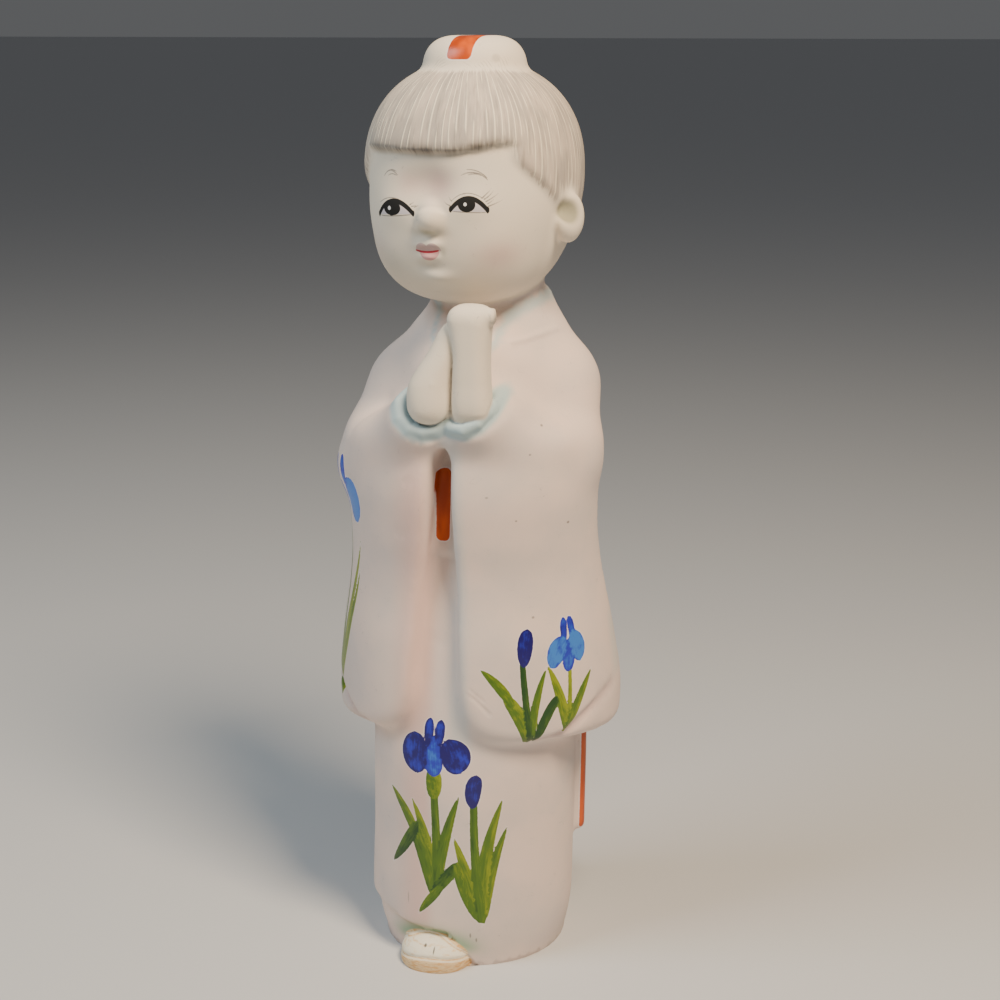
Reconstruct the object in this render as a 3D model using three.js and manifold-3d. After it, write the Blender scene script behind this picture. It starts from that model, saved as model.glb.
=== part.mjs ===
import * as THREE from 'three';
import { mergeVertices } from 'three/addons/utils/BufferGeometryUtils.js';
import Module from 'manifold-3d';

// Kimono girl with her hands pressed together under her chin, cast in one piece.
// Millimetres, +Z up, the figure's front towards -Y and her left hand towards +X.
// The floor plane is Z = 0, and the whole underside is one flat face on it.

// Driving dimension
const height = 300;

// The pose and proportions are shares of the height: the forms below are laid out on one
// figure, and every length in them follows the height

const degrees = (angle) => THREE.MathUtils.radToDeg(angle);
const radians = (angle) => THREE.MathUtils.degToRad(angle);
const lerp = THREE.MathUtils.lerp;

// 0 before the first value, 1 after the second and a smooth step between them
const ramp = (from, to, value) => {
  const t = THREE.MathUtils.clamp((value - from) / (to - from), 0, 1);
  return t * t * (3 - 2 * t);
};

// Union and intersection of two signed distances, rounded by a fillet where they meet
const joined = (a, b, fillet) => {
  const near = Math.max(fillet - Math.abs(a - b), 0) / fillet;
  return Math.min(a, b) - (near * near * fillet) / 4;
};
const shared = (a, b, fillet) => -joined(-a, -b, fillet);

// Values of a profile at one height, on a smooth curve through its stations
const profileAt = (stations, z) => {
  const last = stations.length - 1;
  if (z <= stations[0][0]) return stations[0].slice(1);
  if (z >= stations[last][0]) return stations[last].slice(1);
  let i = 0;
  while (z > stations[i + 1][0]) i += 1;
  const before = stations[Math.max(i - 1, 0)];
  const from = stations[i];
  const to = stations[i + 1];
  const after = stations[Math.min(i + 2, last)];
  const gap = to[0] - from[0];
  const t = (z - from[0]) / gap;
  return from.slice(1).map((start, n) => {
    const c = n + 1;
    const slopeIn = ((to[c] - before[c]) / (to[0] - before[0])) * gap;
    const slopeOut = ((after[c] - start) / (after[0] - from[0])) * gap;
    const ease = t * t * (3 - 2 * t);
    const bend = t * (1 - t) * (slopeIn * (1 - t) - slopeOut * t);
    return start + (to[c] - start) * ease + bend;
  });
};

// Signed distances of the basic forms: an upright oval tube, a squared ellipsoid and a
// tapered capsule
const tube = (x, y, halfWidth, halfDepth, centreX, centreY) => {
  const reach = Math.hypot((x - centreX) / halfWidth, (y - centreY) / halfDepth);
  return (reach - 1) * Math.min(halfWidth, halfDepth);
};

const pebble = (x, y, z, { centre, radii, squareness = 2 }) => {
  const powers = [x, y, z].map((value, axis) => {
    return Math.abs((value - centre[axis]) / radii[axis]) ** squareness;
  });
  const reach = (powers[0] + powers[1] + powers[2]) ** (1 / squareness);
  return (reach - 1) * Math.min(...radii);
};

const limb = (x, y, z, { from, to, fromRadius, toRadius }) => {
  const point = new THREE.Vector3(x, y, z).sub(new THREE.Vector3(...from));
  const axis = new THREE.Vector3(...to).sub(new THREE.Vector3(...from));
  const t = THREE.MathUtils.clamp(point.dot(axis) / axis.lengthSq(), 0, 1);
  return point.distanceTo(axis.multiplyScalar(t)) - lerp(fromRadius, toRadius, t);
};

// Robe from the hem to the neck: height, half width, half depth, centre x, centre y
const robe = [
  [-8, 30.4, 31.8, -0.5, 0],
  [0, 31.3, 32.4, -0.5, 0],
  [8, 33.3, 33.3, -0.8, 0],
  [16, 34.2, 33.6, -0.8, 0],
  [40, 34, 33.4, -0.3, 0],
  [70, 34, 33, 0, 0],
  [110, 33, 30, 0, 1],
  [150, 32, 26, 0, 2],
  [175, 34, 24, 0, 3],
  [190, 34, 22, 1.4, 5],
  [200, 31, 19.5, 3, 6.5],
  [208, 26, 18.5, 3.4, 8],
  [216, 20.6, 17.5, 4, 8],
  [223, 18.6, 17.5, 3.4, 7],
  [240, 18.3, 18, 2, 5],
];
const neck = { top: 238, fillet: 8 };
const chest = { centre: [1.5, -4, 194], radii: [22, 19.5, 21], fillet: 10 };

// The outer skirt laps over the under skirt. Turns are in degrees from the front, towards
// the figure's left: the lap's edge lifts over the foot, higher on her right side, and runs
// down to the floor on her left and behind her right heel
const lap = {
  depth: 1.7,
  lift: 12.6,
  sideLift: 14.6,
  sideFrom: [-20, -60],
  leftFall: [-4, 20],
  rightFall: [-125, -85],
  leftEnd: [8, 18],
  rightEnd: [-130, -100],
  lip: [-3, 0.5],
};

const lapEdge = (turn) => {
  const lift = lap.lift * (1 - ramp(...lap.leftFall, turn));
  const side = (lap.sideLift - lap.lift) * ramp(...lap.sideFrom, turn);
  return (lift + side) * ramp(...lap.rightFall, turn);
};

const robeField = (x, y, z) => {
  const [halfWidth, halfDepth, centreX, centreY] = profileAt(robe, z);
  const turn = degrees(Math.atan2(x, -y));
  const overLip = ramp(...lap.lip, z - lapEdge(turn));
  const covered = (1 - ramp(...lap.leftEnd, turn)) * ramp(...lap.rightEnd, turn);
  const inset = lap.depth * (1 - overLip) * covered;
  const skirt = tube(x, y, halfWidth, halfDepth, centreX, centreY) + inset;
  return joined(shared(skirt, z - neck.top, neck.fillet), pebble(x, y, z, chest), chest.fillet);
};

// Both sleeves share one outer shell: height, half width, half depth, centre y
const sleeveShell = [
  [70, 47, 42.5, 7],
  [90, 47.8, 43, 7],
  [109, 45.6, 41, 5.6],
  [124, 43.4, 38.5, 4.6],
  [135, 42, 37, 3],
  [146, 41.2, 35.5, 0],
  [160, 41.3, 34, -3],
  [175, 41, 32, -4],
];

// Each sleeve's front edge lies a little off the middle, by one distance at the hem and
// another at the cuff; the hem rises towards the front and the back edge leans
const sleeve = {
  top: 182,
  frontRise: [80, 180],
  leftFront: [3.5, 1.5],
  rightFront: [12.5, 5],
  hem: [76.5, 79.5],
  hemRise: [10, -35],
  back: [17, 4],
  backRise: [84, 150],
  cornerFillet: 18,
  hemFillet: 6,
  backFillet: 5,
  topFillet: 10,
  fillet: 5,
};

const sleeveField = (x, y, z, side) => {
  const [halfWidth, halfDepth, centreY] = profileAt(sleeveShell, z);
  const shell = tube(x, y, halfWidth, halfDepth, 0, centreY);
  const edge = side > 0 ? sleeve.leftFront : sleeve.rightFront;
  const front = lerp(...edge, ramp(...sleeve.frontRise, z)) - side * x;
  const bottom = lerp(...sleeve.hem, ramp(...sleeve.hemRise, y)) - z;
  const back = y - lerp(...sleeve.back, ramp(...sleeve.backRise, z));
  const corner = shared(front, bottom, sleeve.cornerFillet);
  const panel = shared(shared(shell, corner, sleeve.hemFillet), back, sleeve.backFillet);
  return shared(panel, z - sleeve.top, sleeve.topFillet);
};

// Arms bent forward, from shoulder to elbow to a cuff that is cut off square to its opening
const armShape = { shoulder: 12.5, elbow: 11.5, elbowFillet: 5, rimFillet: 3, fillet: 8 };
const arms = [
  {
    shoulder: [26.5, 5, 190],
    elbow: [29.8, -5, 170],
    cuff: [8.6, -29, 185],
    cuffRadius: 11,
    opening: [-0.2, -0.55, 0.81],
  },
  {
    shoulder: [-23.5, 5, 188],
    elbow: [-31.8, -5.4, 164],
    cuff: [-7.8, -32.6, 186],
    cuffRadius: 9.6,
    opening: [0.35, -0.72, 0.6],
  },
];

const armField = (x, y, z, { shoulder, elbow, cuff, cuffRadius, opening }) => {
  const upperEnds = { from: shoulder, to: elbow };
  const upper = limb(x, y, z, {
    ...upperEnds,
    fromRadius: armShape.shoulder,
    toRadius: armShape.elbow,
  });
  const foreEnds = { from: elbow, to: cuff };
  const fore = limb(x, y, z, { ...foreEnds, fromRadius: armShape.elbow, toRadius: cuffRadius });
  const past = new THREE.Vector3(x, y, z).sub(new THREE.Vector3(...cuff));
  const beyond = past.dot(new THREE.Vector3(...opening));
  return joined(upper, shared(fore, beyond, armShape.rimFillet), armShape.elbowFillet);
};

// Sash: a band round the waist, a flat knot at the back and a wide end that hangs from it
// and spreads from half its turn at the top to half its turn at the sleeves' hem
const band = { from: 140, to: 168, thickness: 1.6, edgeFillet: 3, fillet: 2 };
const tail = {
  from: 34,
  to: 160,
  thickness: 4.2,
  halfTurns: [48, 77],
  spread: [160, 76.5],
  edgeFillet: 3,
  sideFillet: 4,
  fillet: 2,
};
const knot = { centre: [0.5, 29.5, 155], radii: [22, 8.5, 12.5], squareness: 3.2, fillet: 3 };

const wrapField = (x, y, z, { from, to, thickness, edgeFillet }) => {
  const [halfWidth, halfDepth, centreX, centreY] = profileAt(robe, z);
  const skin = tube(x, y, halfWidth + thickness, halfDepth + thickness, centreX, centreY);
  return shared(skin, Math.abs(z - (from + to) / 2) - (to - from) / 2, edgeFillet);
};

const tailField = (x, y, z) => {
  const turn = Math.abs(Math.atan2(x, y));
  const halfTurn = radians(lerp(...tail.halfTurns, ramp(...tail.spread, z)));
  const sides = (turn - halfTurn) * Math.hypot(x, y);
  return shared(wrapField(x, y, z, tail), sides, tail.sideFillet);
};

const foot = { centre: [-5.8, -27, 2.5], radii: [11.8, 13.4, 9.5], squareness: 2.3, fillet: 1.5 };

const bodyField = (x, y, z) => {
  let distance = robeField(x, y, z);
  for (const arm of arms) distance = joined(distance, armField(x, y, z, arm), armShape.fillet);
  for (const side of [1, -1]) {
    distance = joined(distance, sleeveField(x, y, z, side), sleeve.fillet);
  }
  distance = joined(distance, wrapField(x, y, z, band), band.fillet);
  distance = joined(distance, tailField(x, y, z), tail.fillet);
  distance = joined(distance, pebble(x, y, z, knot), knot.fillet);
  return joined(distance, pebble(x, y, z, foot), foot.fillet);
};

// Hands laid palm to palm, their fingertips bent over, and the web that holds them to the
// chest
const leftPalm = { from: [7.4, -34.5, 185.5], to: [8.2, -34.3, 213], fromRadius: 6, toRadius: 6.5 };
const leftTips = { centre: [8.6, -34, 215.5], radii: [7.6, 7, 5.8], squareness: 2.3 };
const rightPalm = { from: [-5.2, -34, 190.5], to: [2, -33.5, 214], fromRadius: 7, toRadius: 4.8 };
const web = { from: [2, -26, 192], to: [4, -25, 207], fromRadius: 7.5, toRadius: 6.5 };
const handFillet = { tips: 3, palms: 1.5, web: 6, body: 2 };

const handsField = (x, y, z) => {
  let distance = joined(limb(x, y, z, leftPalm), pebble(x, y, z, leftTips), handFillet.tips);
  distance = joined(distance, limb(x, y, z, rightPalm), handFillet.palms);
  return joined(distance, limb(x, y, z, web), handFillet.web);
};

// Head turned a little to the figure's right, in its own frame with the face towards -Y
const headTurn = -11;
const headFillet = { cheeks: 8, nose: 3.5, ear: 2, body: 3 };
const skull = { centre: [0, 0, 259], radii: [33.6, 34, 33.8], squareness: 2.25 };
const cheeks = { centre: [0, -5, 240.5], radii: [27.4, 26.5, 22.5], squareness: 2.42 };
const nose = { from: [1, -30, 247.5], to: [1, -31, 246.5], fromRadius: 4.4, toRadius: 4 };
const earShape = { halfLength: 6, halfHeight: 8.2 };
const ears = [
  { turn: 87, out: 32.8, height: 245.5, halfThickness: 4.2 },
  { turn: -93, out: 32.2, height: 249, halfThickness: 4 },
];

// Round bun that rises from inside the head to above its crown, the top of the figure
const bun = { radius: 16.4, centre: [-0.5, 1], rise: 7.2, crownFillet: 11, fillet: 2 };
const bunTop = skull.centre[2] + skull.radii[2] + bun.rise;

// The face lies behind the edge of the hair: a level fringe over the brow, higher towards
// the figure's left, and a slanted edge on each side that runs down to the ear
const hair = {
  depth: 1.9,
  fringe: 266.5,
  leftRise: 2.5,
  leftRiseTurns: [10, 45],
  fringeStep: [-3.5, 1.5],
  sideTurns: [76, 46],
  sideHeights: [247, 267],
  sideStep: [-4, 6],
};

const faceShare = (turn, z) => {
  const edge = hair.fringe + hair.leftRise * ramp(...hair.leftRiseTurns, turn);
  const side = lerp(...hair.sideTurns, ramp(...hair.sideHeights, z));
  const underFringe = 1 - ramp(...hair.fringeStep, z - edge);
  return underFringe * (1 - ramp(...hair.sideStep, Math.abs(turn) - side));
};

const earField = (x, y, z, { turn, out, height: middle, halfThickness }) => {
  const angle = radians(turn);
  const outward = x * Math.sin(angle) - y * Math.cos(angle) - out;
  const along = x * Math.cos(angle) + y * Math.sin(angle);
  const radii = [halfThickness, earShape.halfLength, earShape.halfHeight];
  return pebble(outward, along, z, { centre: [0, 0, middle], radii });
};

const headField = (bodyX, bodyY, z) => {
  const cos = Math.cos(radians(headTurn));
  const sin = Math.sin(radians(headTurn));
  const x = bodyX * cos + bodyY * sin;
  const y = bodyY * cos - bodyX * sin;
  const turn = degrees(Math.atan2(x, -y));
  let distance = pebble(x, y, z, skull) + hair.depth * faceShare(turn, z);
  distance = joined(distance, pebble(x, y, z, cheeks), headFillet.cheeks);
  distance = joined(distance, limb(x, y, z, nose), headFillet.nose);
  const post = tube(x, y, bun.radius, bun.radius, ...bun.centre);
  const crowned = shared(post, z - bunTop, bun.crownFillet);
  distance = joined(distance, Math.max(crowned, skull.centre[2] - z), bun.fillet);
  for (const ear of ears) distance = joined(distance, earField(x, y, z, ear), headFillet.ear);
  return distance;
};

// The whole figure at its height, carried a little below the floor plane, where it is cut
// off flat
const share = height / bunTop;
const footing = 6;

const figureField = (point) => {
  const [x, y, z] = point.map((value) => value / share);
  let distance = bodyField(x, y, z);
  distance = joined(distance, headField(x, y, z), headFillet.body);
  distance = joined(distance, handsField(x, y, z), handFillet.body);
  return Math.max(distance, -footing - z) * share;
};

// Facets: small over the head and hands, larger over the robe, changing between two heights
const headFacet = 4 * share;
const robeFacet = 5.2 * share;
const facetChange = [130 * share, 210 * share];

// Lattice of points in level layers, each with its own spacing, that reaches past the
// sleeves' shell by a margin; the shift keeps its points off the figure's planes
const latticeMargin = 12;
const shellReach = Math.max(...sleeveShell.map(([, halfWidth, halfDepth, centreY]) => {
  return Math.max(halfWidth, halfDepth + Math.abs(centreY));
}));
const latticeReach = (shellReach + latticeMargin) * share;
const latticeShift = [0.37, 0.31];
const spareLayers = 3;

const latticeLayers = () => {
  const stack = [];
  let z = -spareLayers * robeFacet;
  while (z < height + spareLayers * headFacet) {
    const facet = lerp(robeFacet, headFacet, ramp(...facetChange, z));
    stack.push({ z, facet });
    z += facet;
  }
  return stack;
};

const layers = latticeLayers();
const half = Math.ceil(latticeReach / headFacet);
const across = 2 * half + 1;
const placeOf = (i, j, k) => {
  const { z, facet } = layers[k];
  return [(i - half + latticeShift[0]) * facet, (j - half + latticeShift[1]) * facet, z];
};
const indexOf = (i, j, k) => (k * across + j) * across + i;

const samples = new Float64Array(layers.length * across * across);
for (let k = 0; k < layers.length; k += 1) {
  for (let j = 0; j < across; j += 1) {
    for (let i = 0; i < across; i += 1) {
      samples[indexOf(i, j, k)] = figureField(placeOf(i, j, k));
    }
  }
}

// A lattice cell: its eight corners, its twelve edges and the edges of each of its sides
const corners = [0, 1, 2, 3, 4, 5, 6, 7].map((c) => [c & 1, (c >> 1) & 1, c >> 2]);
const cellEdges = [1, 2, 4].flatMap((bit) => {
  return corners.map((corner, c) => [c, c | bit]).filter(([a]) => (a & bit) === 0);
});
const edgeNumbers = cellEdges.map((edge, e) => e);
const cellSides = [1, 2, 4].flatMap((bit) => [0, bit].map((value) => {
  return edgeNumbers.filter((e) => cellEdges[e].every((c) => (c & bit) === value));
}));

// Crossed edges of a cell, grouped into the separate patches of surface that pass through it
const patchesOf = (inside) => {
  const crossed = cellEdges.map(([a, b]) => inside[a] !== inside[b]);
  const patch = [...edgeNumbers];
  const unite = (a, b) => {
    const old = patch[b];
    patch.forEach((name, e) => {
      if (name === old) patch[e] = patch[a];
    });
  };
  for (const side of cellSides) {
    const cut = side.filter((e) => crossed[e]);
    for (const a of cut) {
      for (const b of cut) {
        const corner = cellEdges[a].find((c) => cellEdges[b].includes(c));
        const meet = cut.length === 2 || (corner !== undefined && inside[corner]);
        if (a < b && meet) unite(a, b);
      }
    }
  }
  const names = new Set(patch.filter((name, e) => crossed[e]));
  return [...names].map((name) => edgeNumbers.filter((e) => crossed[e] && patch[e] === name));
};

// One vertex for each patch, at the mean of its crossings
const vertices = [];
const vertexOf = new Map();
for (let k = 0; k + 1 < layers.length; k += 1) {
  for (let j = 0; j + 1 < across; j += 1) {
    for (let i = 0; i + 1 < across; i += 1) {
      const values = corners.map(([di, dj, dk]) => samples[indexOf(i + di, j + dj, k + dk)]);
      const inside = values.map((value) => value < 0);
      if (inside.every(Boolean) || !inside.some(Boolean)) continue;
      for (const patch of patchesOf(inside)) {
        const mean = new THREE.Vector3();
        for (const e of patch) {
          const [from, to] = cellEdges[e].map((c) => {
            const [di, dj, dk] = corners[c];
            return new THREE.Vector3(...placeOf(i + di, j + dj, k + dk));
          });
          const [a, b] = cellEdges[e].map((c) => values[c]);
          mean.add(from.lerp(to, a / (a - b)));
          vertexOf.set(indexOf(i, j, k) * cellEdges.length + e, vertices.length);
        }
        vertices.push(mean.divideScalar(patch.length).toArray());
      }
    }
  }
}

// Each vertex slides along the steepest way onto the true surface, in a few careful steps
const settling = { steps: 3, probe: 0.05 * share, farthest: 1.5 * share, pace: 0.8, flattest: 0.25 };

const settle = (point) => {
  for (let step = 0; step < settling.steps; step += 1) {
    const distance = figureField(point);
    const slope = point.map((value, axis) => {
      const beside = [...point];
      beside[axis] += settling.probe;
      return (figureField(beside) - distance) / settling.probe;
    });
    const steepness = slope.reduce((sum, value) => sum + value * value, 0);
    const wanted = THREE.MathUtils.clamp(distance, -settling.farthest, settling.farthest);
    const move = (settling.pace * wanted) / Math.max(steepness, settling.flattest);
    slope.forEach((value, axis) => {
      point[axis] -= value * move;
    });
  }
};
vertices.forEach(settle);

// Each crossed lattice edge lies in four cells, whose vertices are the corners of two facets.
// Going round the edge, a cell lies one step back, or not, along each of the other two axes
const facets = [];
const span = (a, b) => Math.hypot(...vertices[a].map((value, axis) => value - vertices[b][axis]));
const addFacets = ([a, b, c, d]) => {
  if (span(a, c) <= span(b, d)) facets.push(a, b, c, a, c, d);
  else facets.push(b, c, d, b, d, a);
};
const around = [[false, false], [true, false], [true, true], [false, true]];
for (let k = 1; k + 1 < layers.length; k += 1) {
  for (let j = 1; j + 1 < across; j += 1) {
    for (let i = 1; i + 1 < across; i += 1) {
      const here = samples[indexOf(i, j, k)] < 0;
      for (const axis of [0, 1, 2]) {
        const ahead = [i, j, k];
        ahead[axis] += 1;
        if (here === samples[indexOf(...ahead)] < 0) continue;
        const loop = around.map(([du, dv]) => {
          const cell = [i, j, k];
          cell[(axis + 1) % 3] -= du;
          cell[(axis + 2) % 3] -= dv;
          const corner = (du << ((axis + 1) % 3)) | (dv << ((axis + 2) % 3));
          const far = corner | (1 << axis);
          const edge = cellEdges.findIndex(([a, b]) => a === corner && b === far);
          return vertexOf.get(indexOf(...cell) * cellEdges.length + edge);
        });
        addFacets(here ? loop : loop.reverse());
      }
    }
  }
}

const wasm = await Module();
wasm.setup();

const solidOf = (geometry) => {
  geometry.deleteAttribute('normal');
  geometry.deleteAttribute('uv');
  const merged = mergeVertices(geometry);
  return new wasm.Manifold(new wasm.Mesh({
    numProp: 3,
    vertProperties: new Float32Array(merged.getAttribute('position').array),
    triVerts: new Uint32Array(merged.getIndex().array),
  }));
};

const surface = new THREE.BufferGeometry();
surface.setAttribute('position', new THREE.Float32BufferAttribute(vertices.flat(), 3));
surface.setIndex(facets);

// Everything below the floor plane is cut away
const ground = new THREE.BoxGeometry(height, height, height).translate(0, 0, -height / 2);
const cast = solidOf(surface).subtract(solidOf(ground)).getMesh();

const castGeometry = new THREE.BufferGeometry();
castGeometry.setAttribute('position', new THREE.BufferAttribute(cast.vertProperties, 3));
castGeometry.setIndex(new THREE.BufferAttribute(cast.triVerts, 1));
castGeometry.computeVertexNormals();

const bisque = new THREE.MeshStandardMaterial({ color: 0xe2d5c8, roughness: 0.8, metalness: 0 });
const doll = new THREE.Mesh(castGeometry, bisque);
doll.name = 'doll';

const figure = new THREE.Group();
figure.add(doll);
export default figure;
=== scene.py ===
"""Kimono girl with her hands pressed together: the painted bisque casting on its CAD frame.

The whole figure is one casting, so the scene has one piece. Its mesh starts as a copy of the
frame's solid, is divided finely where the casting has detail, and settles onto the exact form,
which each sub-assembly below describes in layout millimetres on a figure 300 tall.
"""

import logging
import math
from dataclasses import dataclass
from enum import Enum
from functools import reduce

import bmesh
import bpy
import numpy as np
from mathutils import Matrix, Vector


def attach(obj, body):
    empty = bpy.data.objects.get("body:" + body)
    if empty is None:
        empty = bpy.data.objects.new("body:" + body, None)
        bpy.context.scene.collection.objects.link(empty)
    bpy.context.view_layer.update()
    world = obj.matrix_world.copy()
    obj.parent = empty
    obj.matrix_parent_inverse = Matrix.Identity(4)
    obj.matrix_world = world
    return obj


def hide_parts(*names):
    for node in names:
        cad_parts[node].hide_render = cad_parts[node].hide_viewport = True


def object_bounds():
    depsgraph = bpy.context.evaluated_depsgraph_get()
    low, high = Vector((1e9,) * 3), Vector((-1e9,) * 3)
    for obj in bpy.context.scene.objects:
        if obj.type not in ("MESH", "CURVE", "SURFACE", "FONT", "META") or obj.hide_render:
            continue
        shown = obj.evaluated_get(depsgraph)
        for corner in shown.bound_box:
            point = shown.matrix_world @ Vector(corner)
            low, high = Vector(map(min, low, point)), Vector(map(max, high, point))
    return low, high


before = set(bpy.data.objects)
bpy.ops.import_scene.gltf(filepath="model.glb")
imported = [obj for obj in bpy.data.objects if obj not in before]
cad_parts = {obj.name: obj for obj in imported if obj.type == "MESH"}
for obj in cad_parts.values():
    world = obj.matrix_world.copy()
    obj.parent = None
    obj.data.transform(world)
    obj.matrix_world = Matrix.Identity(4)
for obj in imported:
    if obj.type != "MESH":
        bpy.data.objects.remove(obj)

log = logging.getLogger("kimono_girl")

LAYOUT_HEIGHT = 300.0
FRAME_BOX = [list(corner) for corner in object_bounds()]
METRES = (FRAME_BOX[1][2] - FRAME_BOX[0][2]) / LAYOUT_HEIGHT

FAR_AWAY = 20.0
CREASE_FADE = 2.0

Triple = tuple[float, float, float]
Pair = tuple[float, float]
Colour = tuple[float, float, float, float]
Grain = tuple[Triple | float, float]
Stations = tuple[tuple[float, ...], ...]
Size = np.ndarray | float
Socket = bpy.types.NodeSocket


def ramp(start: float, end: float, value: np.ndarray) -> np.ndarray:
    """Rises smoothly from 0 at one value to 1 at another.

    Args:
        start: Value where the ramp leaves 0.
        end: Value where it reaches 1.
        value: Values to look up.

    Returns:
        The ramp at each value.
    """
    t = np.clip((value - start) / (end - start), 0.0, 1.0)
    return t * t * (3.0 - 2.0 * t)


def mixed(a: float, b: float, share: np.ndarray) -> np.ndarray:
    """Values between two ends, by a share from 0 to 1."""
    return a + (b - a) * share


def joined(a: np.ndarray, b: np.ndarray, fillet: float) -> np.ndarray:
    """Union of two signed distances, rounded by a fillet where they meet."""
    near = np.maximum(fillet - np.abs(a - b), 0.0) / fillet
    return np.minimum(a, b) - near * near * fillet / 4.0


def shared(a: np.ndarray, b: np.ndarray, fillet: float) -> np.ndarray:
    """Intersection of two signed distances, rounded by a fillet where they meet."""
    return -joined(-a, -b, fillet)


def creased(a: np.ndarray, b: np.ndarray, fillet: float, depth: float, width: float) -> np.ndarray:
    """Union of two signed distances, rounded where they meet, with a crease pressed in along that line."""
    return joined(a, b, fillet) + depth * between(a, b, width)


def between(a: np.ndarray, b: np.ndarray, width: float) -> np.ndarray:
    """1 on the line of the surface where two signed distances are equal, 0 off it."""
    off_surface = np.minimum(np.abs(a), np.abs(b)) / CREASE_FADE
    return np.exp(-(((a - b) / width) ** 2) - off_surface**2)


def profile(stations: Stations, height: np.ndarray) -> np.ndarray:
    """Looks a profile up on a smooth curve through its stations.

    Args:
        stations: Rows of a height and the values there.
        height: Heights to look up.

    Returns:
        One row of values for each height.
    """
    table = np.array(stations)
    heights, values = table[:, 0], table[:, 1:]
    last = len(heights) - 1
    before = np.maximum(np.arange(last + 1) - 1, 0)
    after = np.minimum(np.arange(last + 1) + 1, last)
    slopes = (values[after] - values[before]) / (heights[after] - heights[before])[:, None]
    z = np.clip(height, heights[0], heights[-1])
    low = np.clip(np.searchsorted(heights, z, side="right") - 1, 0, last - 1)
    gap = (heights[low + 1] - heights[low])[:, None]
    t = (z - heights[low])[:, None] / gap
    ease = t * t * (3.0 - 2.0 * t)
    bend = t * (1.0 - t) * (slopes[low] * (1.0 - t) - slopes[low + 1] * t) * gap
    return values[low] + (values[low + 1] - values[low]) * ease + bend


def tube(p: np.ndarray, half_width: Size, half_depth: Size, centre_x: Size, centre_y: Size) -> np.ndarray:
    """Signed distance of an upright oval tube."""
    reach = np.hypot((p[:, 0] - centre_x) / half_width, (p[:, 1] - centre_y) / half_depth)
    return (reach - 1.0) * np.minimum(half_width, half_depth)


def front_turn(p: np.ndarray) -> np.ndarray:
    """Turn of each point round the upright axis, in degrees from the front to her left."""
    return np.degrees(np.arctan2(p[:, 0], -p[:, 1]))


@dataclass(frozen=True)
class Pebble:
    """Squared ellipsoid."""

    centre: Triple
    radii: Triple
    squareness: float = 2.0

    def distance(self, p: np.ndarray) -> np.ndarray:
        """Signed distance of each point."""
        reach = (np.abs((p - self.centre) / self.radii) ** self.squareness).sum(axis=1)
        return (reach ** (1.0 / self.squareness) - 1.0) * min(self.radii)


@dataclass(frozen=True)
class Limb:
    """Capsule that tapers from one round end to the other."""

    start: Triple
    end: Triple
    start_radius: float
    end_radius: float

    def distance(self, p: np.ndarray) -> np.ndarray:
        """Signed distance of each point.

        Args:
            p: Points in layout millimetres.

        Returns:
            The signed distances in millimetres.
        """
        axis = np.subtract(self.end, self.start)
        t = np.clip((p - self.start) @ axis / (axis @ axis), 0.0, 1.0)
        away = np.linalg.norm(p - self.start - t[:, None] * axis, axis=1)
        return away - mixed(self.start_radius, self.end_radius, t)


@dataclass(frozen=True)
class Bead:
    """Round bead along a chain of points."""

    path: tuple[Triple, ...]
    radius: float = 0.0

    def distance(self, p: np.ndarray) -> np.ndarray:
        """Signed distance of each point from the bead's surface."""
        runs = zip(self.path, self.path[1:])
        return np.min([Limb(a, b, self.radius, self.radius).distance(p) for a, b in runs], axis=0)


@dataclass(frozen=True)
class Ridge:
    """Soft ridge of the surface along a chain of points, or a groove where its height is negative."""

    path: tuple[Triple, ...]
    width: float
    height: float

    def lift(self, p: np.ndarray) -> np.ndarray:
        """Height that the ridge adds at each point."""
        return self.height * np.exp(-((Bead(self.path).distance(p) / self.width) ** 2))


@dataclass(frozen=True)
class Swell:
    """Soft swelling of the surface, or a hollow where its height is negative."""

    centre: Triple
    radii: Triple
    height: float

    def lift(self, p: np.ndarray) -> np.ndarray:
        """Height that the swelling adds at each point."""
        reach = (((p - self.centre) / self.radii) ** 2).sum(axis=1)
        return self.height * np.exp(-reach)


def relief(p: np.ndarray, forms: tuple[Swell | Ridge, ...]) -> np.ndarray:
    """Height that soft swellings and ridges add together at each point."""
    return np.sum([form.lift(p) for form in forms], axis=0)


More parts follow.
